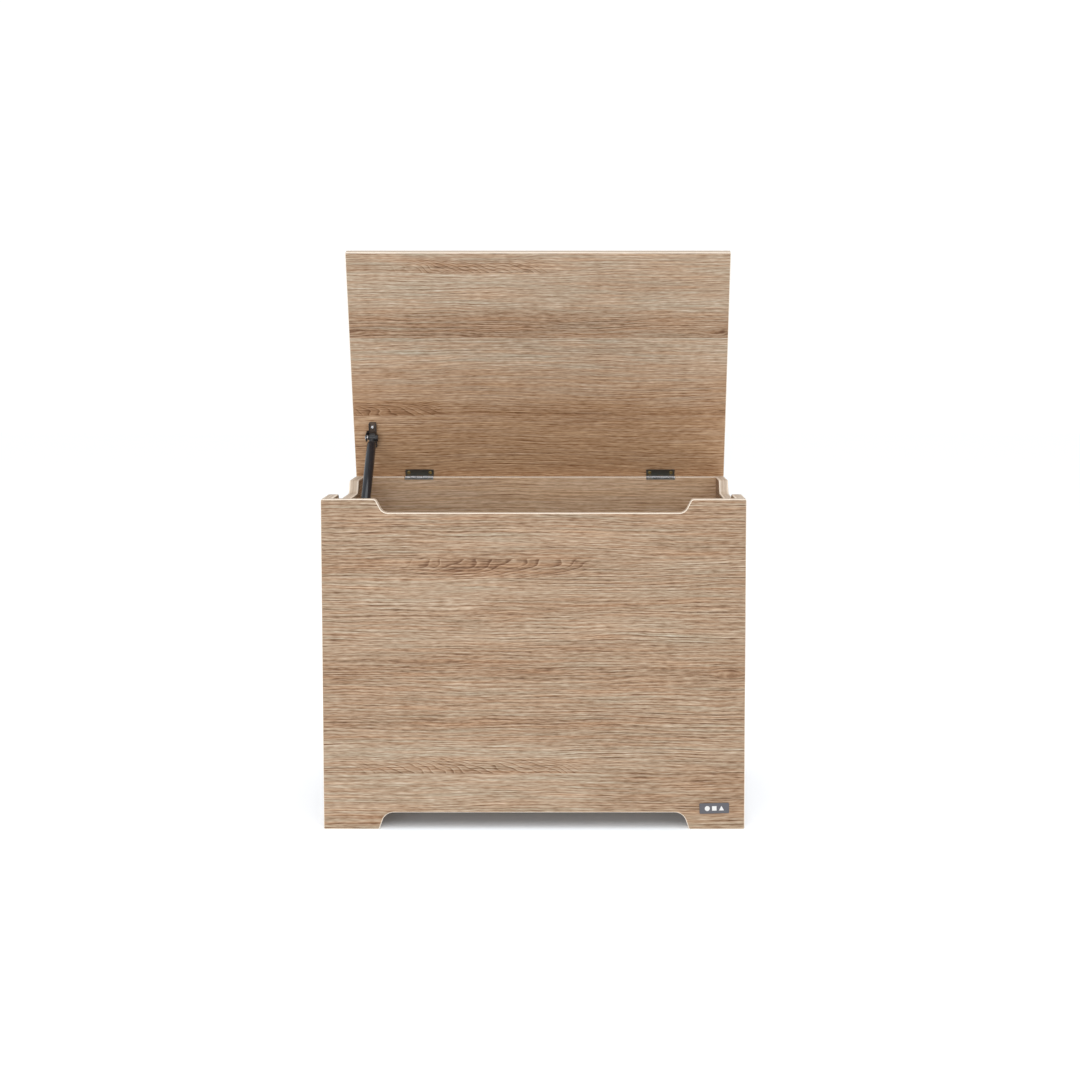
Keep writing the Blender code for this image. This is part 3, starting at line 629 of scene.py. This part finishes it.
def corner_bores(nodes, matrix):
    """Bores for round CAD nodes that lie along Y, in a board's own frame."""
    bores = []
    for node in nodes:
        low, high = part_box(node)
        middle = (low + high) / 2
        ends = [(middle.x, y, middle.z) for y in (low.y - 2 * GAP, high.y + 2 * GAP)]
        bores.append(spanning_rod(matrix, *ends, (high.x - low.x) / 2 + GAP))
    return bores


def groove(matrix):
    """The base's groove, in a board's own frame: the base with its clearance."""
    around = Vector((GAP, GAP, GAP))
    return spanning_block(matrix, BASE_LOW - around, BASE_HIGH + around)


def corner_nodes(sides, ends):
    """The cam bolts, then the dowels, at the corners where these sides and ends meet."""
    places = [f"{end}_{side}" for end in ends for side in sides]
    bolts = [f"cam_bolt_{place}_{level}" for place in places for level in ("lower", "upper")]
    return bolts + [f"dowel_{place}" for place in places]


def make_board(name, matrix, outline, wood, materials, cuts, sides, ends, body="root"):
    board = add_piece(name + "_board", round_board(outline),
                      [wood, materials["edge_banding"], materials["chipboard"]], matrix)
    if sides:
        cuts = cuts + corner_bores(corner_nodes(sides, ends), matrix)
    carve(board, cuts, slot=2)
    finish_board(board)
    settle(board, body, "oak_board", name)


def lid_matrix():
    """The frame of what is fixed to the lid: X to the right, Y to the back and Z up when it is closed."""
    return Matrix.Translation(AXIS) @ Matrix.Rotation(-OPEN_ANGLE, 4, "X")


def hinge_centres():
    """Each hinge's side and the middle of its pin along X."""
    pins = {side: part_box(f"hinge_{side}_pin") for side in ("left", "right")}
    return {side: (low.x + high.x) / 2 for side, (low, high) in pins.items()}


def gain_blocks(matrix):
    """Cutters for the gains that take the hinges."""
    reach = LEAF_LENGTH / 2 + 0.5 * MM
    floor = AXIS.z - KNUCKLE_RADIUS - GAP
    front, back = BACK_Y - BOARD - MM, BACK_Y + MM
    return [spanning_block(matrix, (x - reach, front, floor), (x + reach, back, RIM + MM))
            for x in hinge_centres().values()]


def cam_pockets(matrix, side):
    """Cutters for the cam locks' pockets in one side board."""
    reach = (side * (INNER_X - MM), side * (INNER_X + CAM_LENGTH + 2 * GAP))
    centres = [centre for _, own_side, _, centre in cam_places() if own_side == side]
    return [spanning_rod(matrix, *[(x, centre.y, centre.z) for x in reach], CAM_RADIUS + GAP, 48)
            for centre in centres]


def make_boards(materials):
    up = (0, 0, 1)
    front = place_matrix((0, FRONT_Y + BOARD, 0), (1, 0, 0), up)
    wide = board_outline(HALF_WIDTH, FOOT, SHOULDER, CORNER_RADIUS)
    # front panel: arcs under the upper seam and over the lowest one; its lift below zero paints shade over
    # the whole board
    front_oak = oak("oak_front", 1.0, (0.081, 0.234, 0.388),
                    figures=[(0.020, 0.388, -1, 1, 0.24, 0.036, 0.0225, 6.0),
                             (0.000, 0.081, 1, 1, 0.30, 0.032, 0.0170, 6.0)],
                    stretches=[(0.388, 0.362, -0.09, -0.32, 0.15), (0.362, 0.295, 0.12, -0.40, -0.06),
                               (0.412, 0.392, -0.09, 0.00, 0.40), (0.347, 0.325, 0.08, -0.06, 0.40),
                               (0.270, 0.234, -0.06, -0.40, 0.40), (0.234, 0.198, -0.11, -0.04, 0.40),
                               (0.234, 0.224, -0.09, -0.02, 0.40),
                               (0.240, 0.205, -0.08, -0.40, 0.00), (0.165, 0.138, -0.08, -0.40, 0.40),
                               (0.124, 0.080, 0.14, -0.40, 0.40), (0.081, 0.020, 0.13, -0.40, 0.10)],
                    knots=[(0.277, 0.224, 0.012)], lift=-0.065)
    make_board("front_panel", front, wide, front_oak, materials, [groove(front)],
               ("left", "right"), ("front",))

    back = place_matrix((0, BACK_Y - BOARD, 0), (-1, 0, 0), up)
    straight = board_outline(HALF_WIDTH, FOOT, None, CORNER_RADIUS)
    # back panel: its lift paints light over the whole board, and a warm shade is painted towards the rim
    back_oak = oak("oak_back", 11.0, (0.110, 0.262, 0.415),
                   figures=[(0.10, 0.262, 1, 1, 0.26, 0.034, 0.0200, 6.0)],
                   stretches=[(0.415, 0.380, -0.10, -0.30, 0.10), (0.200, 0.150, 0.08, -0.10, 0.40)],
                   painted_warm_shade=(0.20, 0.45, 0.40), lift=0.27)
    make_board("back_panel", back, straight, back_oak, materials, [groove(back)] + gain_blocks(back),
               ("left", "right"), ("back",))

    side_half = (LEFT_HIGH.y - LEFT_LOW.y) / 2
    trim = DEPTH / 2 - side_half
    narrow = board_outline(side_half, FOOT - trim, SHOULDER - trim)
    for name, side, along, seed in (("left", -1, (0, -1, 0), 21.0), ("right", 1, (0, 1, 0), 31.0)):
        matrix = place_matrix((side * INNER_X, MIDDLE_Y, 0), along, up)
        wood = oak(f"oak_{name}", seed, (0.095 + 0.03 * side, 0.240 + 0.02 * side, 0.392 + 0.01 * side),
                   figures=[(0.06, 0.240 + 0.02 * side, side, 1, 0.22, 0.032, 0.0190, 6.0)],
                   stretches=[(0.392 + 0.01 * side, 0.360, -0.12, -0.20, 0.10)])
        make_board(f"{name}_side_panel", matrix, narrow, wood, materials,
                   [groove(matrix)] + cam_pockets(matrix, side), (name,), ("front", "back"))

    base_matrix = move_by(0, MIDDLE_Y, BASE_LOW.z)
    base = add_piece("base_board", block((BASE_LOW.x, BASE_LOW.y - MIDDLE_Y, 0),
                                         (BASE_HIGH.x, BASE_HIGH.y - MIDDLE_Y, BASE_HIGH.z - BASE_LOW.z)),
                     [oak("oak_base", 41.0, (-0.09, 0.06))], base_matrix)
    soften(base, 0.4 * MM, 40)
    settle(base, "root", "oak_board", "base_panel")

    lid = lid_matrix() @ move_by(0, 0, AXIS_TO_LID)
    corner = CORNER_RADIUS
    flat = (arc((HALF_WIDTH - corner, corner - DEPTH), corner, -pi / 2, 0, 5)
            + arc((HALF_WIDTH - corner, -corner), corner, 0, pi / 2, 5))
    flat += [(-u, v) for u, v in reversed(flat)]
    # lid: its lift paints a little light over it, and a warm shade is painted towards the hinge
    lid_oak = oak("oak_lid", 51.0, (-0.342, -0.236, -0.106),
                  figures=[(-0.040, -0.342, -1, 1, 0.22, 0.032, 0.0160, 6.0),
                           (-0.190, -0.106, -1, 1, 0.14, 0.034, 0.0170, 6.0)],
                  stretches=[(-0.342, -0.294, 0.04, -0.40, 0.10), (-0.236, -0.290, -0.15, -0.40, 0.40),
                             (-0.236, -0.180, 0.11, -0.40, 0.40), (-0.106, -0.121, -0.09, -0.14, 0.33),
                             (-0.106, -0.137, -0.09, -0.40, 0.40)],
                  knots=[(-0.107, -0.243, 0.009), (-0.291, -0.245, 0.009), (0.285, -0.246, 0.010)],
                  painted_warm_shade=(-0.26, -0.03, 0.52), lift=0.05)
    make_board("lid_panel", lid, flat, lid_oak, materials, [], (), (), "lid")


# ---------------- corner fittings

def cross_recess(size, depth, width):
    """A cross-shaped cutter from just above the origin down -Z."""
    return [block((-size, -width, -depth), (size, width, size)),
            block((-width, -size, -depth), (width, size, size))]


def make_cam_locks(materials):
    rim, step = CAM_RADIUS, 0.5 * MM
    for name, side, end, centre in cam_places():
        # local Z points out of the pocket, into the box
        matrix = move_by(side * INNER_X, centre.y, centre.z) @ rotation(y=-side * pi / 2)
        body = turned([(0, -CAM_LENGTH), (rim - step, -CAM_LENGTH), (rim, step - CAM_LENGTH), (rim, -step),
                       (rim - step, -GAP), (rim - 1.2 * MM, -GAP), (rim - 1.6 * MM, -0.8 * MM),
                       (0, -0.8 * MM)], 64)
        cam = add_piece(f"cam_lock_{name}_cast", body, [materials["zinc_casting"]], matrix)
        bolt = matrix.inverted() @ Vector((side * (INNER_X + BOARD / 2), centre.y, centre.z))
        way = (matrix.inverted().to_3x3() @ Vector((0, end, 0))).normalized()
        # room for the bolt's head, and out through the rim
        half = 3.3 * MM
        far, near = bolt + way * (rim + MM), bolt - way * half
        around = Vector([0 if abs(part) > 0.5 else half for part in way])
        carve(cam, [spanning_block(Matrix.Identity(4), near - around, far + around)])
        carve(cam, cross_recess(4.2 * MM, 2.6 * MM, 0.75 * MM))
        soften(cam, 0.12 * MM)
        settle(cam, "root", "zinc", "cam_lock_" + name)


def dress_hidden_fittings(materials):
    """Cam bolts and dowels keep their CAD shape."""
    for name, node in frame["nodes"].items():
        if name.startswith(("cam_bolt", "dowel")):
            finish = materials["zinc_casting"] if name.startswith("cam_bolt") else materials["beech_dowel"]
            node.data.materials.clear()
            node.data.materials.append(finish)


# ---------------- screws

def make_screw(name, matrix, body, finish):
    """Raised countersunk screw with a cross recess; its plate's surface is at the origin, +Z out."""
    angles = [pi / 2 * i / 8 for i in range(7, -1, -1)]
    crown = [(SCREW_HEAD * cos(angle), SCREW_CROWN * sin(angle)) for angle in angles]
    taper = SCREW_HEAD - SCREW_RADIUS
    profile = [(0, SCREW_CROWN)] + crown + [(SCREW_RADIUS, -taper)]
    # the thread is a row of turned ridges
    ridge, pitch = 0.35 * MM, 1.1 * MM
    z = -taper - pitch
    while z > 3 * MM - SCREW_LENGTH:
        profile += [(SCREW_RADIUS - ridge, z + pitch * 0.55), (SCREW_RADIUS, z + pitch * 0.25),
                    (SCREW_RADIUS - ridge, z)]
        z -= pitch
    profile += [(SCREW_RADIUS - ridge, 2.4 * MM - SCREW_LENGTH), (0, -SCREW_LENGTH)]
    screw = add_piece(name + "_turned", turned(profile, 32), [finish], matrix)
    carve(screw, cross_recess(1.6 * MM, 1.3 * MM, 0.42 * MM))
    shade_round(screw, 40)
    settle(screw, body, "screw_brass", name)


def make_screws(name, matrix, spots, facing, body, finish):
    """One screw at each spot of a plate that the matrix places."""
    for number, spot in enumerate(spots, 1):
        make_screw(f"{name}_{number}", matrix @ move_by(*spot) @ facing, body, finish)


def countersinks(spots, facing):
    """Cutters for screw holes in a plate, in the plate's own frame."""
    taper, lift, hole, depth = SCREW_HEAD - SCREW_RADIUS, 0.5 * MM, SCREW_RADIUS + GAP, 3 * MM
    mouth = SCREW_HEAD + GAP / 2 + lift
    profile = [(0, lift), (mouth, lift), (hole, -taper), (hole, -depth), (0, -depth)]
    return [transformed(turned(profile, 32), move_by(*spot) @ facing) for spot in spots]


# ---------------- hinges

def knuckle_spans():
    length = (LEAF_LENGTH - (KNUCKLES - 1) * KNUCKLE_GAP) / KNUCKLES
    starts = [i * (length + KNUCKLE_GAP) - LEAF_LENGTH / 2 for i in range(KNUCKLES)]
    return [(start, start + length) for start in starts]


def leaf_mesh(side):
    """Leaf along X, its plate towards -Y, rolled round the origin; side is +1 above, -1 below."""
    under = KNUCKLE_RADIUS - LEAF_THICKNESS
    meet = -pi - asin(under / KNUCKLE_RADIUS)
    section = [(-LEAF_WIDTH, KNUCKLE_RADIUS)]
    section += arc((0, 0), KNUCKLE_RADIUS, pi / 2, meet, 40)
    section += [(-LEAF_WIDTH, under)]
    return transformed(prism([(y, side * z) for y, z in section], -LEAF_LENGTH / 2, LEAF_LENGTH / 2), ALONG_X)


def make_leaf(name, matrix, side, body, materials):
    leaf = add_piece(name + "_pressed", leaf_mesh(side),
                     [materials["hinge_steel"], materials["knuckle_painted_highlight"]], matrix)
    reach = KNUCKLE_RADIUS + MM
    others = knuckle_spans()[0::2] if side > 0 else knuckle_spans()[1::2]
    notches = [block((start - KNUCKLE_GAP, -KNUCKLE_RADIUS - GAP, -reach), (end + KNUCKLE_GAP, reach, reach))
               for start, end in others]
    carve(leaf, notches + [rod((-LEAF_LENGTH, 0, 0), (LEAF_LENGTH, 0, 0), KNUCKLE_BORE, 32)])
    surface = side * (KNUCKLE_RADIUS - LEAF_THICKNESS)
    spots = [(x, -HINGE_SCREW_Y, surface) for x in (-HINGE_SCREW_X, HINGE_SCREW_X)]
    facing = rotation(x=pi) if side > 0 else rotation()
    carve(leaf, countersinks(spots, facing))
    soften(leaf, 0.12 * MM)
    # the rolled knuckles take a lighter copy of the leaf's steel: a painted highlight
    for face in leaf.data.polygons:
        if face.center.y > -KNUCKLE_RADIUS:
            face.material_index = 1
    settle(leaf, body, "hinge_steel", name)
    make_screws(name.replace("_leaf", "_screw"), matrix, spots, facing, body, materials["screw_brass"])


def make_hinges(materials):
    for side, x in hinge_centres().items():
        make_leaf(f"hinge_{side}_lid_leaf", lid_matrix() @ move_by(x, 0, 0), 1, "lid", materials)
        make_leaf(f"hinge_{side}_back_leaf", move_by(x, AXIS.y, AXIS.z), -1, "root", materials)
        low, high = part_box(f"hinge_{side}_pin")
        radius, half, tip = (high.z - low.z) / 2, (high.x - low.x) / 2, 0.3 * MM
        pin = turned([(0, -half), (radius - tip, -half), (radius, tip - half), (radius, half - tip),
                      (radius - tip, half), (0, half)], 32)
        matrix = move_by(x, AXIS.y, AXIS.z) @ rotation(y=pi / 2)
        piece = add_piece(f"hinge_{side}_pin_turned", pin, [materials["polished_steel"]], matrix)
        shade_round(piece)
        settle(piece, "root", "hinge_steel", f"hinge_{side}_pin")


# ---------------- gas strut

SOCKET_RADIUS, SOCKET_END, BALL_RADIUS = 6.5 * MM, 13.7 * MM, 5 * MM
STUD_RADIUS = 2.2 * MM
TUBE_RADIUS, TUBE_BORE, TUBE_START, TUBE_END = 7.5 * MM, 6.2 * MM, 14 * MM, 146 * MM
ROD_RADIUS, ROD_TOP = 3 * MM, 121 * MM
MOUTH_LEFT = rotation(y=-pi / 2)        # turns +Z to -X, towards the side board


def strut_matrix():
    """The strut's own frame: origin at the upper ball, +Z down the strut, X as in the world."""
    turn = atan2(-STRUT_WAY.y, STRUT_WAY.z)
    return Matrix.Translation(BALL) @ Matrix.Rotation(turn, 4, "X")


def make_socket(name, matrix, body, materials):
    """Ball socket along X with a ribbed neck along +Z and a spring clip round the housing."""
    low, high, edge = -4.5 * MM, SOCKET_RADIUS, 0.8 * MM
    profile = [(0, low), (SOCKET_RADIUS - edge, low), (SOCKET_RADIUS, low + edge),
               (SOCKET_RADIUS, high - 1.6 * MM), (SOCKET_RADIUS - 1.6 * MM, high), (0, high)]
    housing = transformed(turned(profile), rotation(y=pi / 2))
    socket = add_piece(name + "_moulded", housing, [materials["black_plastic"]], matrix)
    clip = in_mm([(0, 5), (5.6, 5), (5.6, 8.4), (4.9, 9.4), (0, 9.6)])
    carve(socket, [transformed(turned(clip, 40), move_by(0, 0, 1.5 * MM) @ rotation(y=pi / 2))], "UNION")
    neck = in_mm([(0, 0), (4.5, 0)])
    for ring in range(3):
        neck += in_mm([(4.5, 0), (4.1, 0.4), (4.1, 0.9), (4.5, 1.3)], (0, 7.2 * MM + ring * 2.2 * MM))
    neck += in_mm([(4.5, -0.3), (4.2, 0), (0, 0)], (0, SOCKET_END))
    carve(socket, [turned(neck, 32)], "UNION")
    seat_radius, mouth = BALL_RADIUS + GAP, 4.2 * MM
    rim = asin(mouth / seat_radius)
    angles = [(pi - rim) * i / 16 for i in range(1, 17)]
    seat = [(seat_radius * sin(angle), -seat_radius * cos(angle)) for angle in angles]
    cutter = transformed(turned([(0, -seat_radius)] + seat + [(mouth, 7 * MM), (0, 7 * MM)], 32), MOUTH_LEFT)
    carve(socket, [cutter, rod((0, 0, 7.5 * MM), (0, 0, SOCKET_END + MM), STUD_RADIUS + GAP)])
    soften(socket, 0.2 * MM)
    settle(socket, body, "socket_plastic", name)


def ball_profile(tail):
    meet = asin(STUD_RADIUS / BALL_RADIUS)
    steps = 24
    angles = [pi - (pi - meet) * i / steps for i in range(1, steps + 1)]
    return [(0, -BALL_RADIUS)] + [(BALL_RADIUS * sin(a), BALL_RADIUS * cos(a)) for a in angles] + tail


def make_stud(name, matrix, tail, body, materials):
    ball = turned(ball_profile(tail))
    stud = add_piece(name + "_turned", ball, [materials["polished_steel"]], matrix @ MOUTH_LEFT)
    shade_round(stud)
    settle(stud, body, "stud_steel", name)


def make_lid_bracket(materials):
    """Pressed channel under the lid, with an ear bent down at its left for the ball stud."""
    thickness, ear_offset, half, reach = 1.5 * MM, 8.5 * MM, 6 * MM, 22 * MM
    matrix = lid_matrix()
    ball = matrix.inverted() @ BALL
    top, corner = AXIS_TO_LID - GAP, 2.5 * MM
    low = top - thickness
    plate = rounded_rectangle(ball, half, reach, corner, 6)
    bracket = add_piece("strut_lid_bracket_pressed", prism(plate, low, top),
                        [materials["bracket_paint"], materials["bracket_bronze"]], matrix)
    ear_half, ear_x, trim = 7 * MM, ball.x - ear_offset, 0.1 * MM
    tab = block((ear_x - thickness / 2, ball.y - ear_half + trim, low + trim),
                (ball.x, ball.y + ear_half - trim, top - trim))
    ear = [(ball.y + ear_half, top - 2 * trim), (ball.y - ear_half, top - 2 * trim)]
    ear += arc((ball.y, ball.z), ear_half, pi, 2 * pi, 24)
    carve(bracket, [tab], "UNION")
    carve(bracket, [transformed(prism(ear, ear_x - thickness, ear_x), ALONG_X)], "UNION")
    # folded side walls stiffen the strip beyond the socket
    for side in (-1, 1):
        for start, end in ((8 * MM, reach - corner), (corner - reach, -8 * MM)):
            edge = sorted((side * half, side * (half - 1.1 * MM)))
            wall = block((ball.x + edge[0] + trim / 2 * side, ball.y + start, low - 3 * MM),
                         (ball.x + edge[1] + trim / 2 * side, ball.y + end, low + trim * 5))
            carve(bracket, [wall], "UNION")
    hole = rod((ear_x - 3 * MM, ball.y, ball.z), (ear_x + MM, ball.y, ball.z), STUD_RADIUS)
    spots = [(ball.x, ball.y + step, low) for step in (-BRACKET_SCREW_REACH, BRACKET_SCREW_REACH)]
    facing = rotation(x=pi)
    carve(bracket, [hole] + countersinks(spots, facing))
    soften(bracket, 0.15 * MM)
    for face in bracket.data.polygons:
        between = abs(face.center.x - ball.x) < half - 1.2 * MM
        face.material_index = 1 if between and face.center.z > low - MM else 0
    settle(bracket, "lid", "bracket_steel", "strut_lid_bracket")
    make_screws("strut_lid_bracket_screw", matrix, spots, facing, "lid", materials["polished_steel"])


def make_side_bracket(materials):
    """Plate with round ends on the left side board."""
    low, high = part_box("strut_side_bracket")
    centre = (low + high) / 2
    half_width = (high.y - low.y) / 2
    straight = (high.z - low.z) / 2 - half_width
    outline = arc((0, straight), half_width, 0, pi, 20) + arc((0, -straight), half_width, pi, 2 * pi, 20)
    thickness = high.x - low.x
    # own frame: X along world Y, Y up, Z into the box
    matrix = Matrix(((0, 0, 1, low.x), (1, 0, 0, centre.y), (0, 1, 0, centre.z), (0, 0, 0, 1)))
    plate = add_piece("strut_side_bracket_pressed", prism(outline, 0, thickness),
                      [materials["bracket_paint"]], matrix)
    spots = [(0, step, thickness) for step in (-BRACKET_SCREW_REACH, BRACKET_SCREW_REACH)]
    carve(plate, countersinks(spots, rotation()))
    soften(plate, 0.15 * MM)
    settle(plate, "root", "bracket_steel", "strut_side_bracket")
    make_screws("strut_side_bracket_screw", matrix, spots, rotation(), "root", materials["polished_steel"])


def make_tube_and_rod(materials, matrix, length):
    stub, guide, plug = 8.2 * MM, 10 * MM, 8 * MM
    # the lower end is rolled in over the rod guide, with a groove above it
    shape = [(0, stub), (STUD_RADIUS, stub), (STUD_RADIUS, TUBE_START)]
    shape += in_mm([(-1.5, 0), (-0.4, 0.5), (0, 1.6)], (TUBE_RADIUS, TUBE_START))
    shape += in_mm([(0, -9.5), (-0.7, -8.7), (-0.7, -7.9), (0, -7.1), (0, -2), (-0.6, -0.6), (-2, 0)],
                   (TUBE_RADIUS, TUBE_END))
    shape += [(ROD_RADIUS + GAP, TUBE_END), (ROD_RADIUS + GAP, TUBE_END - guide),
              (TUBE_BORE, TUBE_END - guide), (TUBE_BORE, TUBE_START + plug), (0, TUBE_START + plug)]
    piece = add_piece("strut_tube_drawn", turned(shape, 64), [materials["strut_paint"]], matrix)
    shade_round(piece, 38)
    settle(piece, "strut_cylinder", "tube_paint", "strut_tube")
    piston, foot = TUBE_BORE - GAP, ROD_TOP + 8 * MM
    rod_mesh = turned([(0, ROD_TOP), (piston, ROD_TOP), (piston, foot), (ROD_RADIUS, foot),
                       (ROD_RADIUS, length - TUBE_START), (STUD_RADIUS, length - TUBE_START),
                       (STUD_RADIUS, length - stub), (0, length - stub)])
    piece = add_piece("strut_piston_rod_turned", rod_mesh, [materials["polished_steel"]], matrix)
    shade_round(piece, 38)
    settle(piece, "strut_rod", "stud_steel", "strut_piston_rod")


def make_strut(materials):
    matrix = strut_matrix()
    bracket_low, bracket_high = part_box("strut_side_bracket")
    lower_ball = (bracket_low + bracket_high) / 2
    lower_ball.x = BALL.x
    length = (lower_ball - BALL).length
    lower = matrix @ move_by(0, 0, length) @ Matrix.Rotation(pi, 4, "X")
    make_lid_bracket(materials)
    make_side_bracket(materials)
    collar, rivet, shank = 8.2 * MM, 10.3 * MM, STUD_RADIUS - GAP
    upper_tail = [(STUD_RADIUS, collar - 1.5 * MM)] + in_mm([(3.8, -1.2), (3.8, 0)], (0, collar))
    upper_tail += [(shank, collar), (shank, rivet)]
    upper_tail += in_mm([(3.5, 0), (3.3, 0.6), (2.5, 1.2), (0, 1.2)], (0, rivet))
    make_stud("strut_upper_stud", Matrix.Translation(BALL), upper_tail, "lid", materials)
    foot = BALL.x - bracket_high.x - GAP
    lower_tail = [(STUD_RADIUS, foot - 2.9 * MM), (4.5 * MM, foot - 2.6 * MM), (4.5 * MM, foot), (0, foot)]
    make_stud("strut_lower_stud", Matrix.Translation(lower_ball), lower_tail, "strut_rod", materials)
    make_socket("strut_upper_socket", matrix, "strut_cylinder", materials)
    make_socket("strut_lower_socket", lower, "strut_rod", materials)
    make_tube_and_rod(materials, matrix, length)


# ---------------- badge

def make_badge(materials):
    """Slate plate with three plain pale shapes: a disc, a square and a triangle."""
    width, height, tilt = 42 * MM, 15 * MM, radians(1.5)
    thickness = BADGE_HIGH.y - BADGE_LOW.y
    centre = (BADGE_LOW + BADGE_HIGH) / 2
    matrix = move_by(centre.x, BADGE_HIGH.y, centre.z) @ rotation(x=pi / 2, y=-tilt)
    outline = rounded_rectangle((0, 0), width / 2, height / 2, 1.5 * MM, 8)
    plate = add_piece("badge_plate_printed", prism(outline, 0, thickness), [materials["badge_slate"]], matrix)
    soften(plate, 0.15 * MM, 40)
    settle(plate, "root", "badge", "badge_plate")
    low, high = thickness - 0.05 * MM, thickness + 0.12 * MM
    disc = arc((-10 * MM, 0), 3.6 * MM, 0, 2 * pi, 40)[:-1]
    square = in_mm([(-3.2, -3.2), (3.2, -3.2), (3.2, 3.2), (-3.2, 3.2)])
    triangle = in_mm([(6.6, -3.2), (13.8, -3.2), (10.2, 3.4)])
    for name, shape in (("circle", disc), ("square", square), ("triangle", triangle)):
        mark = add_piece("badge_" + name, prism(shape, low, high), [materials["badge_print"]], matrix)
        if name == "circle":
            shade_round(mark)
        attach(mark, "root")


# ---------------- stage, light and camera

def make_stage():
    """A pale floor that runs far back, lit and glowing with painted light beyond the box enough to meet the
    white background; under the box the glow is faint.
    """
    s = Shade(bpy.data.materials.new("floor_paper"))
    x, y, z = s.place()
    grain = s.noise(s.point(x, y, z), (400.0, 400.0, 400.0), 3.0)
    s.bump(grain, 0.0001, 0.2)
    beyond_side = s.minus(s.math("ABSOLUTE", x), HALF_WIDTH)
    beyond_end = s.minus(s.math("ABSOLUTE", s.minus(y, MIDDLE_Y)), DEPTH / 2)
    away = s.math("MAXIMUM", beyond_side, beyond_end)
    # painted light: the floor glows faintly under the box and strongly beyond it, so it shows shade only
    # under the box
    s.set(Base_Color=(0.87, 0.93, 1.0, 1.0), Roughness=0.9, Specular_IOR_Level=0.05,
          Emission_Color=(1.0, 1.0, 1.0, 1.0), Emission_Strength=s.fade(away, -0.05, 0.02, 0.035, 0.33))
    reach, thickness = 9.0, 20 * MM
    floor = add_piece("floor", block((-reach, -reach, -thickness), (reach, reach, 0.0)), [s.owner])


def add_light(name, place, target, size, power):
    light = bpy.data.lights.new(name, "AREA")
    light.shape = "RECTANGLE"
    light.size, light.size_y = size
    light.energy = power
    lamp = bpy.data.objects.new(name, light)
    lamp.location = place
    lamp.rotation_euler = (Vector(target) - Vector(place)).to_track_quat("-Z", "Y").to_euler()
    bpy.context.scene.collection.objects.link(lamp)


def make_lights():
    s = Shade(bpy.data.worlds.new("soft_studio"), "Background")
    # the background is a clean white, and lights the box a little less brightly
    lighting, clean_white = 0.76, 1.05
    seen = s.add("ShaderNodeLightPath").outputs["Is Camera Ray"]
    strength = s.add("ShaderNodeMix", {0: seen, 2: lighting, 3: clean_white}).outputs[0]
    bpy.context.scene.world = s.set(Color=(1.0, 1.0, 1.0, 1.0), Strength=strength)
    middle = (0, 0, 0.4)
    add_light("key_front", (-0.9, -3.4, 0.6), middle, (2.6, 1.2), 34)
    add_light("overhead", (0.2, -0.9, 3.2), middle, (2.6, 2.2), 30)


def make_camera():
    """Level with the lid's upper part, a little to the right, looking slightly down."""
    camera = bpy.data.cameras.new("camera")
    camera.sensor_width = 36.0
    camera.lens = 55.9
    camera.shift_x = -0.0376
    camera.shift_y = -0.09
    camera.dof.use_dof = False
    eye = bpy.data.objects.new("camera", camera)
    eye.location = (0.0662, -2.5429, 0.7113)
    tilt = 3.876
    eye.rotation_euler = (radians(90 - tilt), 0, 0)
    bpy.context.scene.collection.objects.link(eye)
    bpy.context.scene.camera = eye


bpy.context.scene.view_settings.view_transform = "Standard"
finishes = make_materials()
make_camera()
make_lights()
make_stage()
make_boards(finishes)
make_cam_locks(finishes)
dress_hidden_fittings(finishes)
make_hinges(finishes)
make_strut(finishes)
make_badge(finishes)
